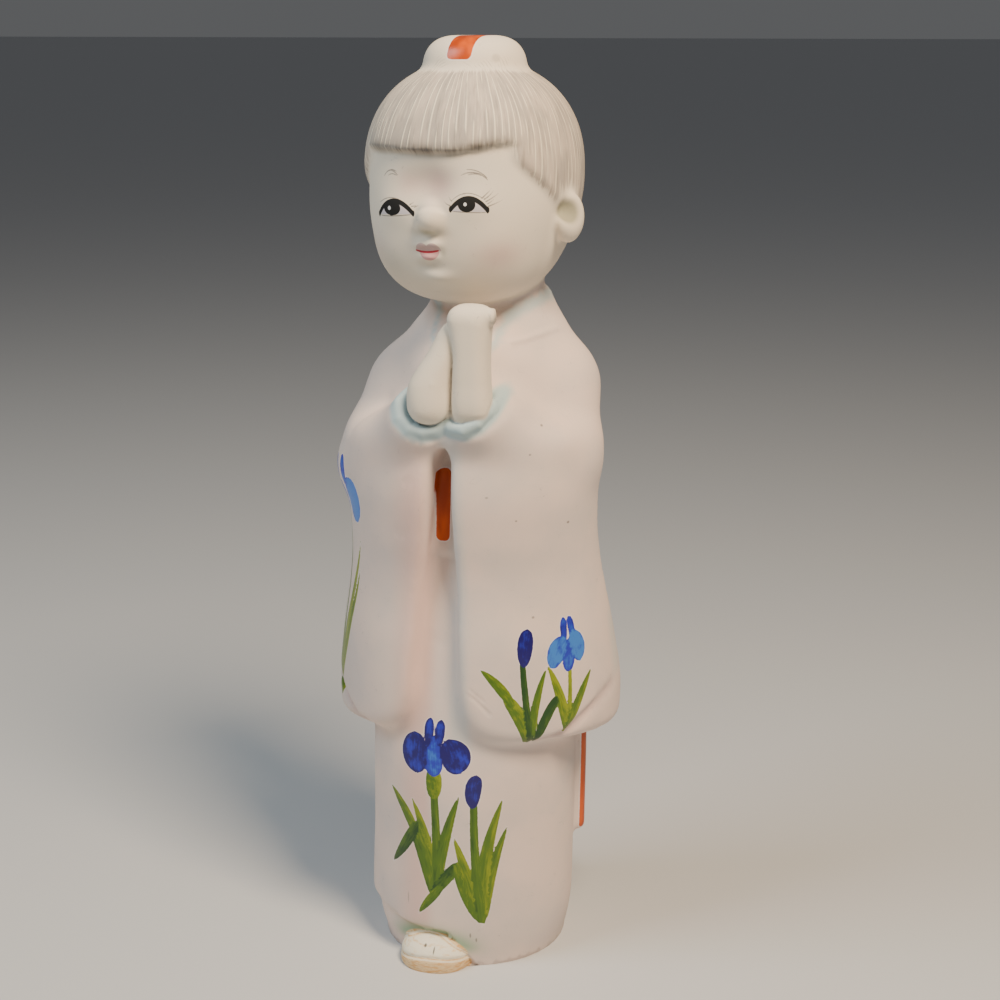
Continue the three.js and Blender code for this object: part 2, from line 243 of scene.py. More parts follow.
@dataclass(frozen=True)
class Robe:
    """Robe from the hem to the neck, with the lap of the outer skirt and the collar."""

    stations: Stations = (
        (-8, 30.4, 31.8, -0.5, 0),
        (0, 31.3, 32.4, -0.5, 0),
        (8, 33.3, 33.3, -0.8, 0),
        (16, 34.2, 33.6, -0.8, 0),
        (40, 34, 33.4, -0.3, 0),
        (70, 34, 33, 0, 0),
        (110, 33, 30, 0, 1),
        (150, 32, 26, 0, 2),
        (175, 34, 24, 0, 3),
        (190, 34, 22, 1.4, 5),
        (200, 31, 19.5, 3, 6.5),
        (208, 26, 18.5, 3.4, 8),
        (216, 20.6, 17.5, 4, 8),
        (223, 18.6, 17.5, 3.4, 7),
        (240, 18.3, 18, 2, 5),
    )
    neck_top: float = 238.0
    neck_fillet: float = 8.0
    chest: Pebble = Pebble((1.5, -4.0, 194.0), (22.0, 19.5, 21.0))
    chest_fillet: float = 10.0
    lap_depth: float = 1.9
    lap_lift: float = 12.6
    lap_side_lift: float = 14.6
    lap_side_from: Pair = (-20.0, -60.0)
    lap_left_fall: Pair = (-4.0, 20.0)
    lap_right_fall: Pair = (-125.0, -85.0)
    lap_left_end: Pair = (8.0, 18.0)
    lap_right_end: Pair = (-130.0, -100.0)
    lap_lip: Pair = (-1.1, 0.3)
    collar_turns: Stations = (
        (-110, 221.5),
        (-54, 217.6),
        (-20, 206),
        (20, 205),
        (47, 213.5),
        (59, 215.9),
        (74, 218.1),
        (85, 219.3),
        (102, 220.7),
        (180, 221.5),
    )
    collar_step: Pair = (-0.7, 0.7)
    collar_depth: float = 1.2
    lapel: Ridge = Ridge(
        ((27.4, 2.6, 209.6), (22.9, -6.0, 208.6), (19.2, -10.9, 207.6), (14.7, -15.1, 206.8)), 0.9, 0.8
    )

    def lap_edge(self, turn: np.ndarray) -> np.ndarray:
        """Height of the outer skirt's edge at each turn from the front.

        Args:
            turn: Turns from the front to her left, in degrees.

        Returns:
            The heights in millimetres.
        """
        lift = self.lap_lift * (1.0 - ramp(*self.lap_left_fall, turn))
        side = (self.lap_side_lift - self.lap_lift) * ramp(*self.lap_side_from, turn)
        return (lift + side) * ramp(*self.lap_right_fall, turn)

    def collar_edge(self, p: np.ndarray) -> np.ndarray:
        """Height of each point above the collar's upper edge."""
        return p[:, 2] - profile(self.collar_turns, front_turn(p))[:, 0]

    def distance(self, p: np.ndarray) -> np.ndarray:
        """Signed distance of each point.

        Args:
            p: Points in layout millimetres.

        Returns:
            The signed distances in millimetres.
        """
        rows = profile(self.stations, p[:, 2])
        turn = front_turn(p)
        over_lip = ramp(*self.lap_lip, p[:, 2] - self.lap_edge(turn))
        covered = (1.0 - ramp(*self.lap_left_end, turn)) * ramp(*self.lap_right_end, turn)
        skirt = tube(p, *rows.T) + self.lap_depth * (1.0 - over_lip) * covered
        trunk = shared(skirt, p[:, 2] - self.neck_top, self.neck_fillet)
        trunk = trunk + self.collar_depth * ramp(*self.collar_step, self.collar_edge(p))
        return joined(trunk, self.chest.distance(p), self.chest_fillet) - self.lapel.lift(p)

    def wrap(self, p: np.ndarray, start: float, end: float, thickness: float, edge: float) -> np.ndarray:
        """Signed distance of a layer wrapped round the robe.

        Args:
            p: Points.
            start: Height of the layer's lower edge.
            end: Height of its upper edge.
            thickness: How far it stands out from the robe.
            edge: Fillet of its two edges.

        Returns:
            The signed distances.
        """
        half_width, half_depth, centre_x, centre_y = profile(self.stations, p[:, 2]).T
        skin = tube(p, half_width + thickness, half_depth + thickness, centre_x, centre_y)
        level = np.abs(p[:, 2] - (start + end) / 2.0) - (end - start) / 2.0
        return shared(skin, level, edge)


@dataclass(frozen=True)
class Sleeves:
    """Two long sleeves in one outer shell, and the bent arms with their cuffs."""

    stations: Stations = (
        (70, 47, 42.5, 7),
        (90, 47.8, 43, 7),
        (109, 45.6, 41, 5.6),
        (124, 43.4, 38.5, 4.6),
        (135, 42, 37, 3),
        (146, 41.2, 35.5, 0),
        (160, 41.3, 34, -3),
        (175, 41, 32, -4),
    )
    top: float = 182.0
    front_rise: Pair = (80.0, 180.0)
    left_front: Pair = (3.5, 1.5)
    right_front: Pair = (12.5, 5.0)
    hem: Pair = (76.5, 79.5)
    hem_rise: Pair = (10.0, -35.0)
    back: Pair = (17.0, 4.0)
    back_rise: Pair = (84.0, 150.0)
    corner_fillet: float = 18.0
    hem_fillet: float = 4.6
    left_edge_fillet: float = 3.0
    left_edge_rise: Pair = (92.0, 118.0)
    back_fillet: float = 5.0
    top_fillet: float = 10.0
    fold: tuple[Triple, ...] = (
        (28.5, -24.0, 79.5),
        (34.7, -20.6, 81.1),
        (39.7, -16.7, 85.0),
        (44.4, -8.9, 89.5),
        (47.4, -0.2, 92.6),
    )
    fold_width: float = 1.5
    fold_depth: float = 1.3

    def distance(self, p: np.ndarray, side: int) -> np.ndarray:
        """Signed distance of one sleeve.

        Args:
            p: Points.
            side: 1 for her left sleeve, -1 for her right one.

        Returns:
            The signed distances.
        """
        half_width, half_depth, centre_y = profile(self.stations, p[:, 2]).T
        shell = tube(p, half_width, half_depth, 0.0, centre_y)
        edge = self.left_front if side > 0 else self.right_front
        front = mixed(*edge, ramp(*self.front_rise, p[:, 2])) - side * p[:, 0]
        bottom = mixed(*self.hem, ramp(*self.hem_rise, p[:, 1])) - p[:, 2]
        back = p[:, 1] - mixed(*self.back, ramp(*self.back_rise, p[:, 2]))
        corner = shared(front, bottom, self.corner_fillet)
        last_fillet = self.left_edge_fillet if side > 0 else self.hem_fillet
        edge_fillet = mixed(self.hem_fillet, last_fillet, ramp(*self.left_edge_rise, p[:, 2]))
        panel = shared(shared(shell, corner, edge_fillet), back, self.back_fillet)
        return shared(panel, p[:, 2] - self.top, self.top_fillet) - self.crease(side).lift(p)

    def crease(self, side: int) -> Ridge:
        """Groove of the fold at the lower back corner of one sleeve."""
        path = tuple((side * x, y, z) for x, y, z in self.fold)
        return Ridge(path, self.fold_width, -self.fold_depth)


@dataclass(frozen=True)
class Arm:
    """Arm bent forward, from the shoulder by the elbow to a cuff cut square to its opening."""

    shoulder: Triple
    elbow: Triple
    cuff: Triple
    cuff_radius: float
    opening: Triple
    rim: Bead
    cuff_reach: float = 0.0
    shoulder_radius: float = 12.5
    elbow_radius: float = 11.5
    elbow_fillet: float = 5.0
    rim_fillet: float = 3.0

    def distance(self, p: np.ndarray) -> np.ndarray:
        """Signed distance of each point.

        Args:
            p: Points in layout millimetres.

        Returns:
            The signed distances in millimetres.
        """
        upper = Limb(self.shoulder, self.elbow, self.shoulder_radius, self.elbow_radius)
        fore = Limb(self.elbow, self.cuff, self.elbow_radius, self.cuff_radius)
        beyond = (p - self.cuff) @ np.array(self.opening) - self.cuff_reach
        cut = shared(fore.distance(p), beyond, self.rim_fillet)
        return joined(upper.distance(p), cut, self.elbow_fillet)


LEFT_ARM = Arm(
    shoulder=(26.5, 5.0, 190.0),
    elbow=(29.8, -5.0, 170.0),
    cuff=(8.6, -29.0, 185.0),
    cuff_radius=11.0,
    opening=(-0.2, -0.55, 0.81),
    cuff_reach=3.2,
    rim=Bead(
        (
            (2.6, -37.0, 183.6),
            (6.8, -38.8, 183.4),
            (10.8, -38.0, 185.6),
            (13.2, -35.0, 188.2),
            (14.2, -30.5, 190.0),
            (14.6, -26.5, 191.0),
            (14.8, -21.5, 191.6),
        ),
        2.0,
    ),
)
RIGHT_ARM = Arm(
    shoulder=(-23.5, 5.0, 188.0),
    elbow=(-31.8, -5.4, 164.0),
    cuff=(-7.8, -32.6, 186.0),
    cuff_radius=9.6,
    opening=(0.35, -0.72, 0.6),
    rim=Bead(
        (
            (-13.8, -27.0, 191.8),
            (-15.4, -32.6, 189.2),
            (-13.8, -35.6, 185.4),
            (-10.6, -36.9, 182.7),
            (-6.8, -36.9, 181.8),
            (-2.5, -35.9, 182.8),
            (1.0, -35.4, 184.2),
        ),
        2.0,
    ),
)


@dataclass(frozen=True)
class Sash:
    """Waist band with a flat knot at the back and a wide end that hangs from it.

    The band and the tail each give the start, end, thickness and edge of a layer round the robe.
    """

    robe: Robe
    band: tuple[float, float, float, float] = (140.0, 168.0, 1.6, 3.0)
    tail: tuple[float, float, float, float] = (34.0, 160.0, 4.2, 3.0)
    tail_half_turns: Pair = (48.0, 77.0)
    tail_spread: Pair = (160.0, 76.5)
    tail_side_fillet: float = 4.0
    knot: Pebble = Pebble((0.5, 29.5, 155.0), (22.0, 8.5, 12.5), 3.2)
    fillet: float = 2.0
    knot_fillet: float = 3.0

    def over(self, distance: np.ndarray, p: np.ndarray) -> np.ndarray:
        """Adds the sash to the signed distance of what it is tied round.

        Args:
            distance: Signed distances of what it is tied round.
            p: Points in layout millimetres.

        Returns:
            The signed distances in millimetres.
        """
        distance = joined(distance, self.robe.wrap(p, *self.band), self.fillet)
        turn = np.abs(np.arctan2(p[:, 0], p[:, 1]))
        half_turn = np.radians(mixed(*self.tail_half_turns, ramp(*self.tail_spread, p[:, 2])))
        sides = (turn - half_turn) * np.hypot(p[:, 0], p[:, 1])
        tail = shared(self.robe.wrap(p, *self.tail), sides, self.tail_side_fillet)
        distance = joined(distance, tail, self.fillet)
        return joined(distance, self.knot.distance(p), self.knot_fillet)


@dataclass(frozen=True)
class Palm:
    """Upright hand with a squared section, through stations from the wrist to the fingertips."""

    stations: Stations
    ends: Pair
    end_fillet: float
    squareness: float

    def distance(self, p: np.ndarray) -> np.ndarray:
        """Signed distance of each point.

        Args:
            p: Points in layout millimetres.

        Returns:
            The signed distances in millimetres.
        """
        half_width, half_depth, centre_x, centre_y = profile(self.stations, p[:, 2]).T
        across = np.abs((p[:, 0] - centre_x) / half_width) ** self.squareness
        out = np.abs((p[:, 1] - centre_y) / half_depth) ** self.squareness
        side = ((across + out) ** (1.0 / self.squareness) - 1.0) * np.minimum(half_width, half_depth)
        level = np.abs(p[:, 2] - sum(self.ends) / 2.0) - (self.ends[1] - self.ends[0]) / 2.0
        return shared(side, level, self.end_fillet)


@dataclass(frozen=True)
class Hands:
    """Hands laid palm to palm with bent-over fingertips, and the web that holds them."""

    left: Palm = Palm(
        (
            (178, 4.4, 3.4, 8.0, -33.4),
            (184, 5.0, 4.4, 8.2, -33.8),
            (189, 5.9, 6.2, 8.45, -34.3),
            (198, 5.6, 6.2, 8.2, -34.3),
            (206, 5.5, 6.2, 8.1, -34.2),
            (212, 6.1, 6.4, 7.9, -34),
            (217, 7, 6.6, 7.7, -33.8),
        ),
        (179.0, 221.4),
        5.5,
        3.0,
    )
    right: Palm = Palm(
        (
            (183, 5.8, 6.2, -4.9, -34),
            (190, 7, 7, -5.2, -34.2),
            (196, 6.9, 6.8, -4.9, -34),
            (201, 6, 6.2, -3.2, -33.6),
            (206, 5.2, 5.6, -0.8, -33),
            (212, 4.3, 5, 1.4, -32.4),
            (218, 3.6, 4.6, 3.4, -32),
        ),
        (183.4, 217.0),
        6.0,
        2.2,
    )
    thumb: Limb = Limb((10.5, -35.0, 218.4), (16.9, -36.2, 218.3), 2.7, 2.3)
    web: Limb = Limb((2.0, -26.0, 192.0), (4.0, -25.0, 207.0), 7.5, 6.5)
    heel_line: Ridge = Ridge(((-2.6, -41.2, 197.4), (-3.6, -41.6, 199.0), (-5.2, -41.2, 199.8)), 0.7, 0.35)
    thumb_fillet: float = 1.6
    crease: Triple = (1.2, 0.5, 0.9)
    web_fillet: float = 6.0

    def distance(self, p: np.ndarray) -> np.ndarray:
        """Signed distance of each point.

        Args:
            p: Points in layout millimetres.

        Returns:
            The signed distances in millimetres.
        """
        left = joined(self.left.distance(p), self.thumb.distance(p), self.thumb_fillet)
        right = self.right.distance(p) - self.heel_line.lift(p)
        both = creased(left, right, *self.crease)
        return joined(both, self.web.distance(p), self.web_fillet)


@dataclass(frozen=True)
class Ear:
    """Round ear with a hollow in front of its rim."""

    turn: float
    out: float
    height: float
    radii: Triple
    hollow: Swell

    def local(self, p: np.ndarray) -> np.ndarray:
        """Points of the head's frame carried to the ear: outward, backward and up.

        Args:
            p: Points in the head's frame, in layout millimetres.

        Returns:
            The points in the ear's own frame.
        """
        cos, sin = math.cos(math.radians(self.turn)), math.sin(math.radians(self.turn))
        outward = p[:, 0] * sin - p[:, 1] * cos - self.out
        along = p[:, 0] * cos + p[:, 1] * sin
        return np.column_stack((outward, along, p[:, 2] - self.height))

    def distance(self, p: np.ndarray) -> np.ndarray:
        """Signed distance of each point in the head's frame."""
        return Pebble((0.0, 0.0, 0.0), self.radii).distance(self.local(p))

    def pressed(self, p: np.ndarray) -> np.ndarray:
        """Depth of the hollow in front of the rim."""
        return -self.hollow.lift(self.local(p))


@dataclass(frozen=True)
class Head:
    """Head with its bun, turned a little to her right; its frame has the face towards -Y."""

    turn: float = -11.0
    skull: Pebble = Pebble((0.0, 0.0, 259.0), (33.6, 34.0, 33.8), 2.25)
    cheeks: Pebble = Pebble((0.0, -5.0, 240.5), (27.4, 26.5, 22.5), 2.42)
    cheeks_fillet: float = 8.0
    nose: Limb = Limb((0.6, -31.4, 248.4), (0.9, -32.5, 246.8), 3.2, 4.3)
    nose_fillet: float = 2.2
    ears: tuple[Ear, ...] = (
        Ear(87.0, 32.9, 245.7, (4.5, 6.4, 7.8), Swell((2.6, -3.2, 2.0), (4.0, 2.4, 2.9), -4.6)),
        Ear(-93.0, 32.2, 249.0, (4.2, 6.2, 7.7), Swell((2.6, 3.2, 2.0), (4.0, 2.4, 2.9), -4.6)),
    )
    ear_fillet: float = 1.4
    bun_radius: float = 16.4
    bun_centre: Pair = (-0.5, 1.0)
    bun_crown_fillet: float = 11.0
    bun_fillet: float = 2.0
    swirl: Triple = (1.4, -18.0, 284.0)
    hair_depth: float = 1.9
    fringe: float = 266.5
    fringe_left_rise: float = 2.5
    fringe_rise_turns: Pair = (10.0, 45.0)
    fringe_step: Pair = (-1.2, 0.9)
    side_turns: Pair = (76.0, 46.0)
    side_heights: Pair = (247.0, 267.0)
    side_step: Pair = (-4.0, 6.0)
    modelling: tuple[Swell | Ridge, ...] = (
        Swell((-0.5, -33.0, 256.8), (8.0, 6.0, 5.4), -2.4),
        Swell((0.4, -35.5, 241.8), (5.0, 4.0, 1.5), -0.7),
        Swell((13.2, -31.0, 251.0), (7.5, 5.0, 4.6), 0.6),
        Swell((-11.8, -31.5, 248.8), (7.5, 5.0, 4.6), 0.6),
        Swell((-2.7, -33.5, 238.6), (2.7, 3.0, 1.6), 0.9),
        Swell((1.9, -33.5, 238.9), (2.7, 3.0, 1.6), 0.9),
        Swell((-0.2, -33.5, 234.7), (3.4, 3.0, 1.5), 1.1),
        Swell((-0.2, -33.0, 231.6), (4.4, 3.0, 1.4), -0.8),
        Swell((1.8, -31.5, 228.0), (5.2, 5.0, 2.8), 1.1),
        Swell((17.0, -26.0, 237.0), (9.0, 8.0, 8.0), 0.6),
        Swell((-17.0, -26.0, 236.0), (9.0, 8.0, 8.0), 0.6),
        Swell((-33.4, -3.0, 258.0), (2.0, 4.0, 1.4), 1.0),
        Ridge(((-4.6, -33.0, 236.8), (-0.6, -34.4, 236.4), (3.9, -33.0, 237.0)), 0.55, -0.6),
    )

    def frame_points(self, p: np.ndarray) -> np.ndarray:
        """Points carried from the figure's frame into the head's frame."""
        cos, sin = math.cos(math.radians(self.turn)), math.sin(math.radians(self.turn))
        return np.column_stack((p[:, 0] * cos + p[:, 1] * sin, p[:, 1] * cos - p[:, 0] * sin, p[:, 2]))

    def under_fringe(self, turn: np.ndarray, height: np.ndarray) -> np.ndarray:
        """Height of each point above the fringe's lower edge."""
        return height - self.fringe - self.fringe_left_rise * ramp(*self.fringe_rise_turns, turn)

    def beside_face(self, turn: np.ndarray, height: np.ndarray) -> np.ndarray:
        """Turn of each point past the slanted side edge of the hair, in degrees."""
        return np.abs(turn) - mixed(*self.side_turns, ramp(*self.side_heights, height))

    def distance(self, figure_points: np.ndarray) -> np.ndarray:
        """Signed distance of each point of the figure.

        Args:
            figure_points: Points in layout millimetres.

        Returns:
            The signed distances in millimetres.
        """
        p = self.frame_points(figure_points)
        turn, height = front_turn(p), p[:, 2]
        face = 1.0 - ramp(*self.fringe_step, self.under_fringe(turn, height))
        face = face * (1.0 - ramp(*self.side_step, self.beside_face(turn, height)))
        distance = self.skull.distance(p) + self.hair_depth * face
        distance = joined(distance, self.cheeks.distance(p), self.cheeks_fillet)
        distance = distance - relief(p, self.modelling)
        distance = joined(distance, self.nose.distance(p), self.nose_fillet)
        post = tube(p, self.bun_radius, self.bun_radius, *self.bun_centre)
        post = shared(post, height - LAYOUT_HEIGHT, self.bun_crown_fillet)
        post = np.maximum(post, self.skull.centre[2] - height)
        distance = joined(distance, post, self.bun_fillet)
        for ear in self.ears:
            distance = joined(distance, ear.distance(p), self.ear_fillet) + ear.pressed(p)
        return distance


@dataclass(frozen=True)
class Foot:
    """Sandalled foot that shows under the lap of the skirt."""

    toe: Pebble = Pebble((-5.4, -27.0, 2.2), (12.2, 13.4, 8.4), 2.3)
    fillet: float = 0.8
    strap_arch: Triple = (9.9, -6.3, 0.037)
    sole_arch: Triple = (5.0, -4.5, 0.012)
    seam_width: float = 0.5
    seam_depth: float = 0.4

    def above(self, arch: Triple, p: np.ndarray) -> np.ndarray:
        """Height of each point above a seam that arches over the foot."""
        top, middle, fall = arch
        return p[:, 2] - top + fall * (p[:, 0] - middle) ** 2

    def distance(self, p: np.ndarray) -> np.ndarray:
        """Signed distance of each point.

        Args:
            p: Points in layout millimetres.

        Returns:
            The signed distances in millimetres.
        """
        strap, sole = self.above(self.strap_arch, p), self.above(self.sole_arch, p)
        seams = np.minimum(np.abs(strap), np.abs(sole))
        return self.toe.distance(p) + self.seam_depth * np.exp(-((seams / self.seam_width) ** 2))


@dataclass(frozen=True)
class Figure:
    """The whole casting's form, joined from its sub-assemblies."""

    robe: Robe = Robe()
    sleeves: Sleeves = Sleeves()
    arms: tuple[Arm, ...] = (LEFT_ARM, RIGHT_ARM)
    hands: Hands = Hands()
    head: Head = Head()
    foot: Foot = Foot()
    arm_fillet: float = 8.0
    sleeve_fillet: float = 5.0
    cuff_pads: tuple[Limb, ...] = (
        Limb((11.4, -32.4, 182.4), (15.6, -24.0, 186.2), 3.6, 4.0),
        Limb((-12.2, -30.8, 187.4), (-2.6, -33.2, 183.2), 3.3, 3.3),
    )
    pad_fillet: float = 3.0
    rim_fillet: float = 1.6
    head_fillet: float = 3.0
    cuff_crease: Triple = (2.6, 0.7, 1.1)
    footing: float = 6.0
    marks: tuple[Swell | Ridge, ...] = (
        Ridge(((-37.5, -17.0, 177.5), (-30.6, -17.0, 182.6), (-25.5, -14.0, 186.5)), 2.0, -0.7),
        Ridge(((-8.2, -28.4, 111.6), (-1.5, -28.6, 112.2)), 0.7, -0.5),
        Ridge(((6.0, -34.6, 97.4), (9.4, -34.9, 95.1), (14.0, -33.9, 90.1)), 0.5, -0.3),
        Ridge(((7.5, -34.8, 98.6), (12.0, -34.6, 94.6)), 0.4, -0.25),
        Swell((26.1, -19.1, 186.9), (6.0, 6.0, 5.0), -0.9),
        Swell((34.4, -20.1, 178.0), (5.0, 5.0, 5.0), 0.5),
        Swell((-13.6, -34.9, 169.8), (1.2, 1.2, 0.7), -0.45),
        Swell((-12.2, -35.4, 164.9), (1.0, 1.2, 0.6), -0.4),
        Swell((-15.7, -33.0, 146.9), (0.9, 1.2, 0.9), -0.4),
    )

    def dressed(self, p: np.ndarray) -> np.ndarray:
        """Signed distance of each point from the clothes and the foot under them.

        Args:
            p: Points in layout millimetres.

        Returns:
            The signed distances in millimetres.
        """
        distance = self.robe.distance(p)
        for arm in self.arms:
            distance = joined(distance, arm.distance(p), self.arm_fillet)
        for side in (1, -1):
            distance = joined(distance, self.sleeves.distance(p, side), self.sleeve_fillet)
        distance = Sash(self.robe).over(distance, p)
        for pad in self.cuff_pads:
            distance = joined(distance, pad.distance(p), self.pad_fillet)
        for arm in self.arms:
            distance = joined(distance, arm.rim.distance(p), self.rim_fillet)
        return joined(distance, self.foot.distance(p), self.foot.fillet)

    def distance(self, p: np.ndarray) -> np.ndarray:
        """Signed distance of each point from the casting's surface.

        Args:
            p: Points in layout millimetres.

        Returns:
            The signed distances in millimetres.
        """
        distance = joined(self.dressed(p), self.head.distance(p), self.head_fillet)
        hands = self.hands.distance(p)
        distance = creased(distance, hands, *self.cuff_crease)
        distance = distance - relief(p, self.marks)
        return np.maximum(distance, -self.footing - p[:, 2])


class Brush(Enum):
    """Outline of a brush mark: how it swells and thins, its last width and its least width."""

    LEAF = (0.42, 0.7, 1.0, 0.12)
    BLADE = (0.2, 0.6, 1.0, 0.12)
    FOLDED_LEAF = (0.35, 0.25, 1.0, 0.1)
    PETAL = (0.5, 0.38, 1.0, 0.0)
    OVAL = (0.5, 0.5, 1.0, 0.0)
    LENS = (1.0, 1.0, 1.0, 0.0)
    STEM = (0.2, 0.0, 0.6, 0.35)
    LINE = (0.15, 0.15, 1.0, 0.6)
    LASH = (0.0, 0.4, 0.6, 0.25)
    LID = (0.06, 0.06, 1.0, 0.9)


@dataclass(frozen=True)
class Mark:
    """One brush mark on an unrolled surface: round it in millimetres, and up it."""

    start: Pair
    end: Pair
    half_width: float
    bow: float = 0.0
    brush: Brush = Brush.LEAF
    tone: float = 0.5

    def measure(self, u: np.ndarray, v: np.ndarray) -> tuple[np.ndarray, np.ndarray, np.ndarray]:
        """Measures points against the mark.

        Args:
            u: Distance of each point round the surface.
            v: Height of each point.

        Returns:
            The signed distance from the mark's outline, the share of the way along the mark
            and the share of its width across, from -1 to 1.
        """
        along = np.subtract(self.end, self.start)
        length = float(np.hypot(*along))
        du, dv = u - self.start[0], v - self.start[1]
        t = (du * along[0] + dv * along[1]) / length**2
        inside = np.clip(t, 0.0, 1.0)
        offset = (dv * along[0] - du * along[1]) / length - self.bow * 4.0 * inside * (1.0 - inside)
        offset = offset / np.hypot(1.0, self.bow * 4.0 * (1.0 - 2.0 * inside) / length)
        swell, thin, last, least = self.brush.value
        peak = swell / (swell + thin)
        widest = peak**swell * (1.0 - peak) ** thin
        width = inside**swell * (1.0 - inside) ** thin / widest * mixed(1.0, last, inside)
        past = (t - inside) * length
        distance = np.hypot(past, offset) - self.half_width * np.maximum(width, least)
        return distance, inside, offset / self.half_width


@dataclass(frozen=True)
class Plant:
    """Iris plant painted on one side of the dress."""

    radius: float
    leaves: tuple[Mark, ...]
    petals: tuple[Mark, ...]


SLEEVE_PLANT = Plant(
    radius=46.0,
    leaves=(
        Mark((48.6, 81.8), (49.8, 103.5), 1.25, -0.2, Brush.STEM, 0.1),
        Mark((48.4, 81.6), (40.8, 105.2), 1.9, -1.0, Brush.LEAF, 0.15),
        Mark((48.2, 81.9), (59.6, 101.1), 1.7, 0.9, Brush.LEAF, 0.3),
        Mark((33.2, 79.6), (24.2, 95.8), 2.5, -1.2, Brush.FOLDED_LEAF, 0.25),
        Mark((27.2, 92.6), (14.3, 105.0), 1.9, -0.9, Brush.LEAF, 0.35),
        Mark((34.4, 80.4), (40.2, 104.5), 1.6, 1.5, Brush.LEAF, 0.4),
        Mark((36.0, 79.6), (44.1, 94.2), 1.9, 0.7, Brush.FOLDED_LEAF, 0.85),
        Mark((34.2, 79.6), (30.9, 106.2), 1.9, 0.5, Brush.STEM, 0.8),
    ),
    petals=(
        Mark((31.2, 105.5), (33.3, 117.6), 3.1, 0.3, Brush.PETAL, 1.0),
        Mark((50.2, 113.0), (49.1, 102.2), 2.6, 0.1, Brush.PETAL, 0.45),
        Mark((48.2, 111.6), (48.4, 120.0), 1.5, 0.1, Brush.PETAL, 0.6),
        Mark((51.9, 111.8), (51.0, 120.2), 1.5, -0.2, Brush.PETAL, 0.45),
        Mark((48.4, 113.6), (42.0, 104.3), 3.6, -0.6, Brush.OVAL, 0.15),
        Mark((51.8, 115.2), (54.6, 104.9), 3.3, 0.7, Brush.OVAL, 0.1),
    ),
)
SKIRT_PLANT = Plant(
    radius=34.0,
    leaves=(
        Mark((-6.2, 34.0), (-13.5, 57.1), 1.8, -1.2, Brush.LEAF, 0.2),
        Mark((-5.2, 24.8), (-13.2, 48.5), 3.0, -1.2, Brush.FOLDED_LEAF, 0.4),
        Mark((-11.4, 43.6), (-23.3, 59.2), 1.9, -1.3, Brush.LEAF, 0.3),
        Mark((-11.2, 49.6), (-22.6, 32.6), 2.0, 0.4, Brush.LEAF, 0.75),
        Mark((-4.6, 26.0), (-5.2, 61.5), 2.2, -0.5, Brush.STEM, 0.5),
        Mark((-4.2, 27.0), (3.6, 60.8), 1.9, 1.2, Brush.LEAF, 0.45),
        Mark((-5.3, 59.0), (-5.3, 69.0), 2.9, -0.1, Brush.FOLDED_LEAF, 0.25),
        Mark((-5.8, 25.1), (3.2, 36.8), 2.0, 0.0, Brush.FOLDED_LEAF, 0.7),
        Mark((-2.4, 28.2), (-10.9, 17.4), 1.5, -0.2, Brush.LEAF, 0.45),
        Mark((10.4, 16.9), (2.9, 37.2), 2.4, 0.6, Brush.FOLDED_LEAF, 0.3),
        Mark((10.0, 18.4), (1.8, 45.9), 2.1, -0.5, Brush.BLADE, 0.2),
        Mark((11.6, 17.6), (19.6, 49.4), 2.0, 1.2, Brush.BLADE, 0.35),
        Mark((10.9, 18.4), (17.9, 58.9), 2.4, 2.0, Brush.BLADE, 0.3),
        Mark((11.3, 15.3), (8.5, 57.2), 2.1, 0.8, Brush.STEM, 0.5),
    ),
    petals=(
        Mark((8.0, 56.6), (9.4, 68.0), 2.75, 0.5, Brush.PETAL, 1.0),
        Mark((-5.9, 80.2), (-5.3, 66.8), 3.5, 0.0, Brush.PETAL, 0.45),
        Mark((-7.4, 76.6), (-7.0, 86.0), 1.8, 0.3, Brush.PETAL, 0.8),
        Mark((-3.8, 77.0), (-2.9, 85.8), 1.75, 0.0, Brush.PETAL, 0.85),
        Mark((-12.8, 80.5), (-11.6, 66.8), 5.2, -0.9, Brush.OVAL, 0.85),
        Mark((-0.2, 79.6), (3.4, 68.4), 5.2, 0.8, Brush.OVAL, 0.9),
    ),
)
FAR_SLEEVE_PLANT = Plant(
    radius=46.0,
    leaves=(
        Mark((-60.4, 84.0), (-46.8, 140.4), 1.7, 3.2, Brush.LEAF, 0.1),
        Mark((-59.4, 90.0), (-48.4, 130.6), 1.4, 0.4, Brush.LEAF, 0.2),
        Mark((-61.4, 84.0), (-58.6, 149.0), 1.5, 1.0, Brush.STEM, 0.5),
        Mark((-62.0, 84.0), (-71.5, 132.0), 1.9, -2.0, Brush.LEAF, 0.3),
        Mark((-62.4, 84.0), (-77.0, 117.0), 1.8, -1.5, Brush.LEAF, 0.4),
    ),
    petals=(
        Mark((-58.8, 159.0), (-59.0, 147.6), 2.6, 0.0, Brush.PETAL, 0.5),
        Mark((-54.4, 158.0), (-55.2, 168.2), 1.8, 0.1, Brush.PETAL, 0.4),
        Mark((-60.4, 157.0), (-61.2, 167.4), 1.6, -0.1, Brush.PETAL, 0.5),
        Mark((-61.0, 160.4), (-68.2, 149.2), 4.2, -0.5, Brush.OVAL, 0.2),
        Mark((-51.8, 161.2), (-47.6, 146.8), 5.8, 0.9, Brush.OVAL, 0.12),
    ),
)


